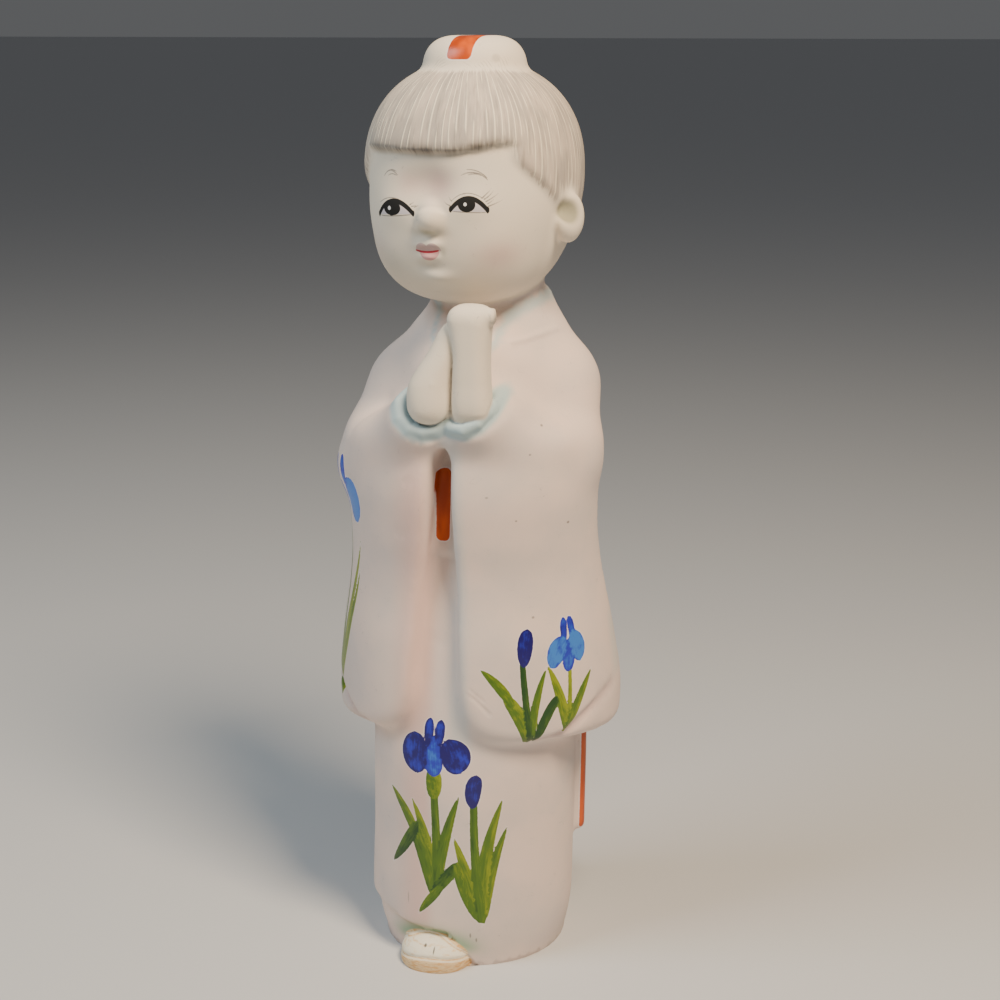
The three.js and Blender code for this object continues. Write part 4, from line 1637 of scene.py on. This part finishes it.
@dataclass(frozen=True)
class BareClay:
    """Matt unglazed clay of the dress and the skin, with its tints, blush, painted warm light and painted
    shade, specks and hairlines.
    """

    robe: Colour = display_colour(232, 212, 202)
    robe_cool: Colour = display_colour(218, 204, 198)
    # Painted warm light: pink on the right sleeve's inner face, where warm light falls.
    painted_warm_light: Colour = display_colour(226, 188, 178)
    skin: Colour = display_colour(230, 219, 202)
    smudge: Colour = display_colour(172, 156, 152)
    blots: Grain = (0.04, 4.0)
    blot_edge: Pair = (0.36, 0.68)
    painted_warm_light_strength: float = 0.7
    specks: Grain = (1.6, 2.0)
    speck_edge: Pair = (0.72, 0.8)
    speck_strength: float = 0.4
    hairlines: Grain = (0.22, 2.0)
    hairline_width: Pair = (0.0035, 0.0015)
    hairline_patches: Grain = (0.16, 3.0)
    hairline_patch_edge: Pair = (0.56, 0.62)
    hairline_strength: float = 0.45
    # Pale blue tint, cheek blush with painted shade in the brow hollow, painted shade under the nose and
    # lips and in the ears, painted shade along the sleeves' folds and in the gaps at the cuffs, and the
    # green shade round the foot.
    tints_and_painted_shades: tuple[tuple[str, float, Colour], ...] = (
        ("tint", 0.85, display_colour(166, 196, 204)),
        ("blush_and_brow_shade", 0.7, display_colour(186, 152, 150)),
        ("shade", 0.8, display_colour(138, 138, 114)),
        ("fold_shade", 0.55, display_colour(186, 152, 150)),
        ("cuff_gap_shade", 0.5, display_colour(70, 84, 88)),
        ("green_shade", 0.85, display_colour(132, 172, 138)),
    )

    def hairline(self, bench: Bench, place: Socket) -> Socket:
        """Fine curved hairlines of the surface, in patches.

        Args:
            bench: The material's nodes.
            place: Object coordinates in layout millimetres.

        Returns:
            1 on a hairline, 0 off it.
        """
        away = bench.math("ABSOLUTE", bench.math("SUBTRACT", bench.noise(place, *self.hairlines), 0.5))
        patch = bench.step(bench.noise(place, *self.hairline_patches), *self.hairline_patch_edge)
        return bench.times(bench.step(away, *self.hairline_width), patch)

    def colour(self, bench: Bench, place: Socket) -> Socket:
        """Colour of the clay.

        Args:
            bench: The material's nodes.
            place: Object coordinates in layout millimetres.

        Returns:
            The colour at each place.
        """
        blots = bench.step(bench.noise(place, *self.blots), *self.blot_edge)
        colour = bench.mix(blots, self.robe, self.robe_cool)
        # Painted warm light on the right sleeve's inner face.
        colour = bench.glaze(bench.attribute("painted_warm_light"), self.painted_warm_light_strength, colour, self.painted_warm_light)
        colour = bench.mix(bench.attribute("skin"), colour, self.skin)
        specks = bench.step(bench.noise(place, *self.specks), *self.speck_edge)
        colour = bench.glaze(specks, self.speck_strength, colour, self.smudge)
        colour = bench.glaze(self.hairline(bench, place), self.hairline_strength, colour, self.smudge)
        for name, strength, tone in self.tints_and_painted_shades:
            colour = bench.glaze(bench.attribute(name), strength, colour, tone)
        return colour


@dataclass(frozen=True)
class SandalPaint:
    """Tan paint of the sandal round the cream sock."""

    tan: Colour = display_colour(218, 170, 112)
    light: Colour = display_colour(232, 204, 160)
    brown: Colour = display_colour(160, 112, 64)
    sock: Colour = display_colour(242, 236, 218)
    grain: Grain = ((0.35, 0.35, 1.5), 3.0)
    light_edge: Pair = (0.35, 0.6)
    brown_edge: Pair = (0.62, 0.7)
    brown_strength: float = 0.5
    worn_edge: Pair = (0.5, 0.75)
    sock_edge: Pair = (-0.2, 0.2)
    seam_from_sock: float = 0.55
    seam_width: Pair = (0.35, 0.15)
    seam_strength: float = 0.7
    foot_edge: Pair = (0.55, 0.25)

    def lay(self, bench: Bench, place: Socket, colour: Socket) -> Socket:
        """Lays the sandal's paint over the foot.

        Args:
            bench: The material's nodes.
            place: Object coordinates in layout millimetres.
            colour: Colour under the paint.

        Returns:
            The colour with the sandal and the sock.
        """
        grain = bench.noise(place, *self.grain)
        sandal = bench.mix(bench.step(grain, *self.light_edge), self.tan, self.light)
        sandal = bench.glaze(bench.step(grain, *self.brown_edge), self.brown_strength, sandal, self.brown)
        in_sock = bench.attribute("sock")
        seam = bench.math("ABSOLUTE", bench.math("ADD", in_sock, self.seam_from_sock))
        sandal = bench.glaze(bench.step(seam, *self.seam_width), self.seam_strength, sandal, self.sock)
        sock = bench.mix(bench.step(grain, *self.worn_edge), self.sock, self.light)
        foot = bench.mix(bench.step(in_sock, *self.sock_edge), sandal, sock)
        return bench.mix(bench.step(bench.attribute("foot"), *self.foot_edge), colour, foot)


@dataclass(frozen=True)
class Soil:
    """Small dark pits, specks and cracks of the casting."""

    dark: Colour = display_colour(8, 8, 9)
    edge: Pair = (1.15, 0.45)
    spots: tuple[Swell, ...] = (
        Swell((-2.0, -25.0, 283.7), (0.8, 1.6, 1.6), 0.4),
        Swell((2.1, -27.3, 281.5), (0.8, 1.2, 1.0), 0.4),
        Swell((9.6, -11.2, 293.4), (1.6, 1.8, 1.6), 0.2),
        Swell((-7.0, -37.2, 8.3), (0.55, 2.5, 0.5), 0.8),
        Swell((-3.8, -38.2, 7.4), (0.3, 2.0, 1.5), 0.8),
        Swell((26.1, -26.4, 121.4), (0.5, 1.0, 0.5), 0.5),
        Swell((12.9, -36.3, 179.3), (0.6, 1.0, 0.45), 0.5),
        Swell((13.1, -35.2, 161.7), (0.6, 1.0, 0.4), 0.4),
        Swell((-14.7, -30.6, 21.8), (0.3, 2.0, 2.4), 0.3),
        Swell((7.1, -32.5, 11.5), (0.35, 2.0, 1.0), 0.5),
        Swell((9.0, -31.9, 9.8), (0.35, 2.0, 0.9), 0.5),
        Swell((27.7, -23.3, 183.1), (0.6, 0.8, 0.6), 0.6),
        Swell((25.4, -29.4, 174.8), (0.4, 0.8, 0.4), 0.5),
        Swell((21.6, -31.3, 153.9), (0.4, 0.8, 0.4), 0.5),
        Swell((35.4, -19.0, 151.4), (0.5, 0.8, 0.5), 0.6),
    )

    def lay(self, bench: Bench, place: Socket, colour: Socket) -> Socket:
        """Lays the spots over the clay.

        Args:
            bench: The material's nodes.
            place: Object coordinates in layout millimetres.
            colour: Colour under the spots.

        Returns:
            The colour with the spots.
        """
        covers = []
        for spot in self.spots:
            shrink = tuple(1.0 / radius for radius in spot.radii)
            away = bench.vector("MULTIPLY", bench.vector("SUBTRACT", place, spot.centre), shrink)
            covers.append(bench.times(bench.step(bench.vector("LENGTH", away), *self.edge), spot.height))
        soil = reduce(lambda a, b: bench.math("MAXIMUM", a, b), covers)
        return bench.mix(soil, colour, self.dark)


@dataclass(frozen=True)
class HairWash:
    """Thin grey wash on the hair, with the comb's cream lines and the dark smudge along the fringe, which is
    grey wash and painted shade under the fringe's ledge.
    """

    head: Head = Head()
    grey: Colour = display_colour(178, 168, 158)
    warm: Colour = display_colour(198, 184, 170)
    dark: Colour = display_colour(92, 87, 84)
    cream: Colour = display_colour(236, 226, 204)
    stray: Grain = ((4.0, 4.0, 0.03), 0.0)
    breaks: Grain = ((13.0, 13.0, 0.06), 1.0)
    streaks: Grain = ((45.0, 45.0, 0.11), 2.0)
    patches: Grain = ((6.0, 6.0, 0.05), 2.0)
    strands: float = 96.0
    strand_stray: float = 1.6
    strand_line: Pair = (0.16, 0.05)
    strand_breaks: Pair = (0.42, 0.54)
    strand_strength: float = 0.9
    feather: float = 5.0
    wash_edge: Pair = (-0.6, 1.4)
    warm_edge: Pair = (0.38, 0.62)
    dark_streaks: Pair = (0.5, 0.75)
    light_streaks: Pair = (0.42, 0.3)
    streak_strength: float = 0.3
    streak_height: float = 0.5
    smudge_and_shade_edge: Pair = (0.35, 0.6)
    smudge_and_shade_by_patch: Pair = (0.4, 0.55)
    smudge_and_shade_by_streak: Pair = (0.5, 0.65)
    ring_stray: Grain = (0.2, 1.0)
    ring_stray_reach: float = 1.5
    ring_line: Pair = (0.22, 0.05)
    ring_off_wash: Pair = (0.3, 0.0)
    ring_on_bun: Pair = (1.0, 0.0)
    ring_patches: Grain = (0.25, 1.0)
    ring_patch_edge: Pair = (0.46, 0.6)
    ring_strength: float = 0.3

    def turned(self, bench: Bench, place: Socket) -> Socket:
        """Coordinates in the head's frame.

        Args:
            bench: The material's nodes.
            place: Object coordinates in layout millimetres.

        Returns:
            The turned coordinates.
        """
        mapping = bench.tree.nodes.new("ShaderNodeMapping")
        mapping.vector_type = "TEXTURE"
        mapping.inputs["Rotation"].default_value = (0.0, 0.0, math.radians(self.head.turn))
        bench.feed(mapping.inputs["Vector"], place)
        return mapping.outputs[0]

    def stripe(self, bench: Bench, value: Socket, half_widths: Pair) -> Socket:
        """Thin line at every whole number of a value, between its outer and inner half width."""
        away = bench.math("ABSOLUTE", bench.math("SUBTRACT", bench.math("FRACT", value), 0.5))
        return bench.step(away, *half_widths)

    def strand(self, bench: Bench, centred: Socket, combed: Socket) -> Socket:
        """Lines that the comb left from the bun down, broken here and there.

        Args:
            bench: The material's nodes.
            centred: Level coordinates from the bun's axis.
            combed: Coordinates that run with the combing.

        Returns:
            1 on a line, 0 off it.
        """
        side, forward, _ = bench.separate(centred)
        turns = bench.times(bench.math("ARCTAN2", side, forward), self.strands / math.tau)
        number = bench.times_plus(bench.noise(combed, *self.stray), self.strand_stray, turns)
        whole = bench.step(bench.noise(combed, *self.breaks), *self.strand_breaks)
        return bench.times(self.stripe(bench, number, self.strand_line), whole)

    def ring(self, bench: Bench, place: Socket, wash: Socket) -> Socket:
        """Faint rings that the comb left round the bun, in patches.

        Args:
            bench: The material's nodes.
            place: Object coordinates in layout millimetres.
            wash: Share that the hair's wash covers.

        Returns:
            1 on a ring, 0 off it.
        """
        away = bench.vector("LENGTH", bench.vector("SUBTRACT", self.turned(bench, place), self.head.swirl))
        number = bench.times_plus(bench.noise(place, *self.ring_stray), self.ring_stray_reach, away)
        ring = bench.times(self.stripe(bench, number, self.ring_line), bench.step(wash, *self.ring_off_wash))
        ring = bench.times(ring, bench.step(bench.attribute("bun"), *self.ring_on_bun))
        return bench.times(ring, bench.step(bench.noise(place, *self.ring_patches), *self.ring_patch_edge))

    def lay(self, bench: Bench, place: Socket, colour: Socket) -> tuple[Socket, Socket]:
        """Lays the combed wash over the hair.

        Args:
            bench: The material's nodes.
            place: Object coordinates in layout millimetres.
            colour: Colour under the wash.

        Returns:
            The colour, and the height of the combed ridges.
        """
        local = self.turned(bench, place)
        flat = bench.vector("MULTIPLY", local, (1.0, 1.0, 0.0))
        centred = bench.vector("SUBTRACT", flat, (*self.head.bun_centre, 0.0))
        down = bench.math("SUBTRACT", bench.vector("LENGTH", centred), bench.separate(local)[2])
        around = bench.vector("NORMALIZE", centred)
        combed = bench.vector("ADD", around, bench.combine(0.0, 0.0, down))
        streak = bench.noise(combed, *self.streaks)
        patch = bench.noise(combed, *self.patches)
        strand = self.strand(bench, centred, combed)
        wash = bench.step(bench.swayed(streak, self.feather, bench.attribute("hair")), *self.wash_edge)
        tone = bench.mix(bench.step(patch, *self.warm_edge), self.grey, self.warm)
        tone = bench.glaze(bench.step(streak, *self.dark_streaks), self.streak_strength, tone, self.dark)
        tone = bench.glaze(bench.step(streak, *self.light_streaks), self.streak_strength, tone, self.cream)
        tone = bench.glaze(strand, self.strand_strength, tone, self.cream)
        colour = bench.mix(wash, colour, tone)
        # Dark smudge along the fringe: grey wash and painted shade under its ledge.
        uneven = bench.times_plus(bench.step(patch, *self.smudge_and_shade_edge), *self.smudge_and_shade_by_patch)
        smudge = bench.times(bench.attribute("fringe"), uneven)
        smudge = bench.times(smudge, bench.times_plus(streak, *self.smudge_and_shade_by_streak))
        colour = bench.mix(smudge, colour, self.dark)
        height = bench.times(bench.times_plus(streak, self.streak_height, strand), wash)
        return bench.glaze(self.ring(bench, place, wash), self.ring_strength, colour, self.dark), height


@dataclass(frozen=True)
class IrisPaint:
    """Thin brush paint of the irises, which turns from a light tone by a middle one to a dark one."""

    light: Colour
    middle: Colour
    dark: Colour
    first_turn: Pair
    second_turn: Pair

    def toned(self, bench: Bench, value: Socket) -> Socket:
        """Colour at each value of the tone."""
        colour = bench.mix(bench.step(value, *self.first_turn), self.light, self.middle)
        return bench.mix(bench.step(value, *self.second_turn), colour, self.dark)


@dataclass(frozen=True)
class LeafPaint(IrisPaint):
    """Greens of the leaves: light along one side of each, dark along the other."""

    light: Colour = display_colour(138, 152, 8)
    middle: Colour = display_colour(76, 110, 10)
    dark: Colour = display_colour(24, 68, 16)
    first_turn: Pair = (0.0, 0.42)
    second_turn: Pair = (0.42, 0.9)
    grain: Grain = (2.5, 3.0)
    grain_length: float = 2.0
    grain_strength: float = 0.9
    side: float = 0.22

    def colour(self, bench: Bench) -> Socket:
        """Colour of the leaves.

        Args:
            bench: The material's nodes.

        Returns:
            The colour at each place.
        """
        along, across, tone = bench.stroke("leaves_stroke")
        place = bench.combine(bench.times(along, self.grain_length), across, tone)
        side = bench.times_plus(across, self.side, tone)
        return self.toned(bench, bench.swayed(bench.noise(place, *self.grain), self.grain_strength, side))


@dataclass(frozen=True)
class PetalPaint(IrisPaint):
    """Blues of the petals, from light blue to violet, darker at the rim."""

    light: Colour = display_colour(58, 124, 214)
    middle: Colour = display_colour(40, 50, 184)
    dark: Colour = display_colour(26, 14, 104)
    first_turn: Pair = (0.1, 0.6)
    second_turn: Pair = (0.6, 1.05)
    veins: Grain = (2.2, 3.0)
    vein_spacing: float = 3.0
    vein_strength: float = 0.6
    blots: Grain = (0.3, 3.0)
    blot_strength: float = 1.3
    rim: Pair = (-1.3, -0.1)
    rim_strength: float = 0.22

    def colour(self, bench: Bench, place: Socket) -> Socket:
        """Colour of the petals.

        Args:
            bench: The material's nodes.
            place: Object coordinates in layout millimetres.

        Returns:
            The colour at each place.
        """
        along, across, tone = bench.stroke("petals_stroke")
        lengthwise = bench.combine(bench.times(across, self.vein_spacing), along, tone)
        value = bench.swayed(bench.noise(lengthwise, *self.veins), self.vein_strength, tone)
        value = bench.swayed(bench.noise(place, *self.blots), self.blot_strength, value)
        rim = bench.step(bench.attribute("petals"), *self.rim)
        return self.toned(bench, bench.times_plus(rim, self.rim_strength, value))


@dataclass(frozen=True)
class SashPaint:
    """Orange of the sash and the hair ribbon."""

    orange: Colour = display_colour(208, 88, 18)
    deep: Colour = display_colour(168, 62, 8)
    brushing: Grain = ((0.22, 0.22, 0.06), 2.0)
    deep_edge: Pair = (0.35, 0.7)

    def colour(self, bench: Bench, place: Socket) -> Socket:
        """Colour of the brushed paint at each place."""
        brushed = bench.step(bench.noise(place, *self.brushing), *self.deep_edge)
        return bench.mix(brushed, self.orange, self.deep)


@dataclass(frozen=True)
class FaceColours:
    """Colours and strengths of the face's brush marks, the first painted first."""

    layers: tuple[tuple[str, Colour, float], ...] = (
        ("upper_lip", display_colour(180, 146, 150), 0.75),
        ("lower_lip", display_colour(205, 140, 146), 0.8),
        ("mouth_line", display_colour(170, 40, 56), 1.0),
        ("eye_white", display_colour(205, 198, 204), 1.0),
        ("face_lines", display_colour(98, 92, 90), 0.8),
        ("eye_black", display_colour(8, 8, 9), 1.0),
        ("eye_glint", display_colour(225, 225, 228), 1.0),
    )


@dataclass(frozen=True)
class PaintedBisque:
    """The casting's one material: matt unglazed clay with its washes, and glossy painting over it."""

    name: str = "painted_bisque"
    clay: BareClay = BareClay()
    sandal: SandalPaint = SandalPaint()
    soil: Soil = Soil()
    hair: HairWash = HairWash()
    leaf: LeafPaint = LeafPaint()
    petal: PetalPaint = PetalPaint()
    sash: SashPaint = SashPaint()
    face: FaceColours = FaceColours()
    halo: Colour = display_colour(236, 228, 230)
    halo_edge: Pair = (0.5, 0.3)
    halo_strengths: Triple = (0.3, 0.75, 0.6)
    hand: Grain = (0.9, 2.0)
    strays: Triple = (0.3, 0.3, 0.2)
    face_stray: float = 0.05
    outline_soft: float = 0.09
    matt: float = 0.82
    gloss: float = 0.3
    grain: Triple = (2.2, 4.0, 0.6)
    grain_height: float = 0.25
    bump_depth: float = 0.22
    bump_strength: float = 0.6

    def cover(self, bench: Bench, outline: Socket, hand: Socket, stray: float) -> Socket:
        """Share that a paint covers, from its outline's distance and an uneven hand.

        Args:
            bench: The material's nodes.
            outline: Signed distance from the paint's outline in millimetres.
            hand: Noise around a half.
            stray: How far the outline strays in millimetres.

        Returns:
            1 where the paint lies, 0 off it.
        """
        return bench.step(bench.swayed(hand, stray, outline), self.outline_soft, -self.outline_soft)

    def relieve(self, bench: Bench, place: Socket, ridges: Socket) -> None:
        """Gives the shader the clay's fine grain and the combed ridges.

        Args:
            bench: The material's nodes.
            place: Object coordinates in layout millimetres.
            ridges: Height of the combed ridges.
        """
        bump = bench.tree.nodes.new("ShaderNodeBump")
        bump.inputs["Distance"].default_value = self.bump_depth * METRES
        bump.inputs["Strength"].default_value = self.bump_strength
        grain = bench.noise(place, *self.grain)
        bench.feed(bump.inputs["Height"], bench.times_plus(grain, self.grain_height, ridges))
        bench.feed(bench.shader.inputs["Normal"], bump.outputs[0])

    def material(self) -> bpy.types.Material:
        """Makes the material.

        Returns:
            The finished material.
        """
        bench = Bench(self.name)
        texture = bench.tree.nodes.new("ShaderNodeTexCoord")
        place = bench.vector("MULTIPLY", texture.outputs["Object"], (1.0 / METRES,) * 3)
        hand = bench.noise(place, *self.hand)
        colour = self.sandal.lay(bench, place, self.clay.colour(bench, place))
        colour, ridges = self.hair.lay(bench, place, self.soil.lay(bench, place, colour))
        orange = bench.math("MINIMUM", bench.attribute("sash"), bench.attribute("ribbon"))
        outlines = (bench.attribute("leaves"), bench.attribute("petals"), orange)
        paints = (self.leaf.colour(bench), self.petal.colour(bench, place), self.sash.colour(bench, place))
        for outline, strength in zip(outlines, self.halo_strengths):
            colour = bench.glaze(bench.step(outline, *self.halo_edge), strength, colour, self.halo)
        covers = [self.cover(bench, outline, hand, stray) for outline, stray in zip(outlines, self.strays)]
        for covered, paint in zip(covers, paints):
            colour = bench.mix(covered, colour, paint)
        for name, tone, strength in self.face.layers:
            covered = self.cover(bench, bench.attribute(name), hand, self.face_stray)
            colour = bench.glaze(covered, strength, colour, tone)
        bench.feed(bench.shader.inputs["Base Color"], colour)
        glossy = reduce(lambda a, b: bench.math("MAXIMUM", a, b), covers)
        roughness = bench.times_plus(glossy, self.gloss - self.matt, self.matt)
        bench.feed(bench.shader.inputs["Roughness"], roughness)
        self.relieve(bench, place, ridges)
        return bench.material


@dataclass(frozen=True)
class Lamp:
    """Soft square light, with its place and side in metres and its power in watts."""

    name: str
    place: Triple
    side: float
    power: float
    colour: Triple

    def hang(self, target: Triple) -> None:
        """Hangs the light so that it points at a target.

        Args:
            target: Where it points, in metres.
        """
        data = bpy.data.lights.new(self.name, "AREA")
        data.size = self.side
        data.energy = self.power
        data.color = self.colour
        piece = bpy.data.objects.new(self.name, data)
        piece.location = self.place
        aim = Vector(target) - Vector(self.place)
        piece.rotation_euler = aim.to_track_quat("-Z", "Y").to_euler()
        bpy.context.scene.collection.objects.link(piece)


@dataclass(frozen=True)
class Studio:
    """Plain pale floor, soft lights and the camera at the photograph's angle."""

    floor_size: float = 60.0
    floor_colour: Colour = (0.62, 0.63, 0.65, 1.0)
    floor_roughness: float = 0.9
    lamps: tuple[Lamp, ...] = (
        Lamp("key_light", (0.31, -0.3, 0.76), 0.22, 9.2, (1.0, 0.79, 0.55)),
        Lamp("fill_light", (-0.6, -0.45, 0.95), 0.5, 6.5, (0.84, 0.94, 0.97)),
    )
    lit_middle: Triple = (0.0, 0.0, 0.17)
    air_colour: Colour = (0.9, 0.92, 0.95, 1.0)
    air_strength: float = 0.12
    azimuth: float = 15.0
    distance: float = 600.0
    eye_height: float = 305.0
    pitch: float = -14.35
    focal_pixels: float = 1882.0
    frame_pixels: float = 1000.0
    axis_column: float = 475.0
    sensor: float = 36.0
    sight: float = 50.0

    def camera(self) -> None:
        """Makes the camera and gives it to the scene."""
        data = bpy.data.cameras.new("photo_camera")
        data.sensor_width = self.sensor
        data.lens = self.focal_pixels / self.frame_pixels * self.sensor
        data.shift_x = 0.5 - self.axis_column / self.frame_pixels
        data.clip_end = self.sight
        piece = bpy.data.objects.new("photo_camera", data)
        turn = math.radians(self.azimuth)
        place = Vector((math.sin(turn) * self.distance, -math.cos(turn) * self.distance, self.eye_height))
        piece.location = place * METRES
        piece.rotation_euler = (math.radians(90.0 + self.pitch), 0.0, turn)
        bpy.context.scene.collection.objects.link(piece)
        bpy.context.scene.camera = piece

    def floor(self) -> None:
        """Makes the floor that the figure stands on."""
        mesh = bmesh.new()
        bmesh.ops.create_grid(mesh, x_segments=1, y_segments=1, size=self.floor_size / 2.0)
        data = bpy.data.meshes.new("floor")
        mesh.to_mesh(data)
        mesh.free()
        piece = bpy.data.objects.new("floor", data)
        bpy.context.scene.collection.objects.link(piece)
        material = bpy.data.materials.new("pale_floor")
        material.use_nodes = True
        shader = material.node_tree.nodes["Principled BSDF"]
        shader.inputs["Base Color"].default_value = self.floor_colour
        shader.inputs["Roughness"].default_value = self.floor_roughness
        data.materials.append(material)

    def air(self) -> None:
        """Gives the studio its faint light from all round."""
        world = bpy.data.worlds.new("studio_air")
        world.use_nodes = True
        background = world.node_tree.nodes["Background"]
        background.inputs["Color"].default_value = self.air_colour
        background.inputs["Strength"].default_value = self.air_strength
        bpy.context.scene.world = world

    def build(self) -> None:
        """Sets the studio up."""
        self.camera()
        self.floor()
        self.air()
        for lamp in self.lamps:
            lamp.hang(self.lit_middle)


def main() -> None:
    """Builds the figure and its studio and reports each piece."""
    logging.basicConfig(level=logging.INFO, format="%(name)s: %(message)s")
    casting = Casting()
    piece = casting.build(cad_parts[casting.node])
    piece.data.materials.append(PaintedBisque().material())
    log.info("%s: %d triangles", piece.name, len(piece.data.polygons))
    Studio().build()


if __name__ == "__main__":
    main()
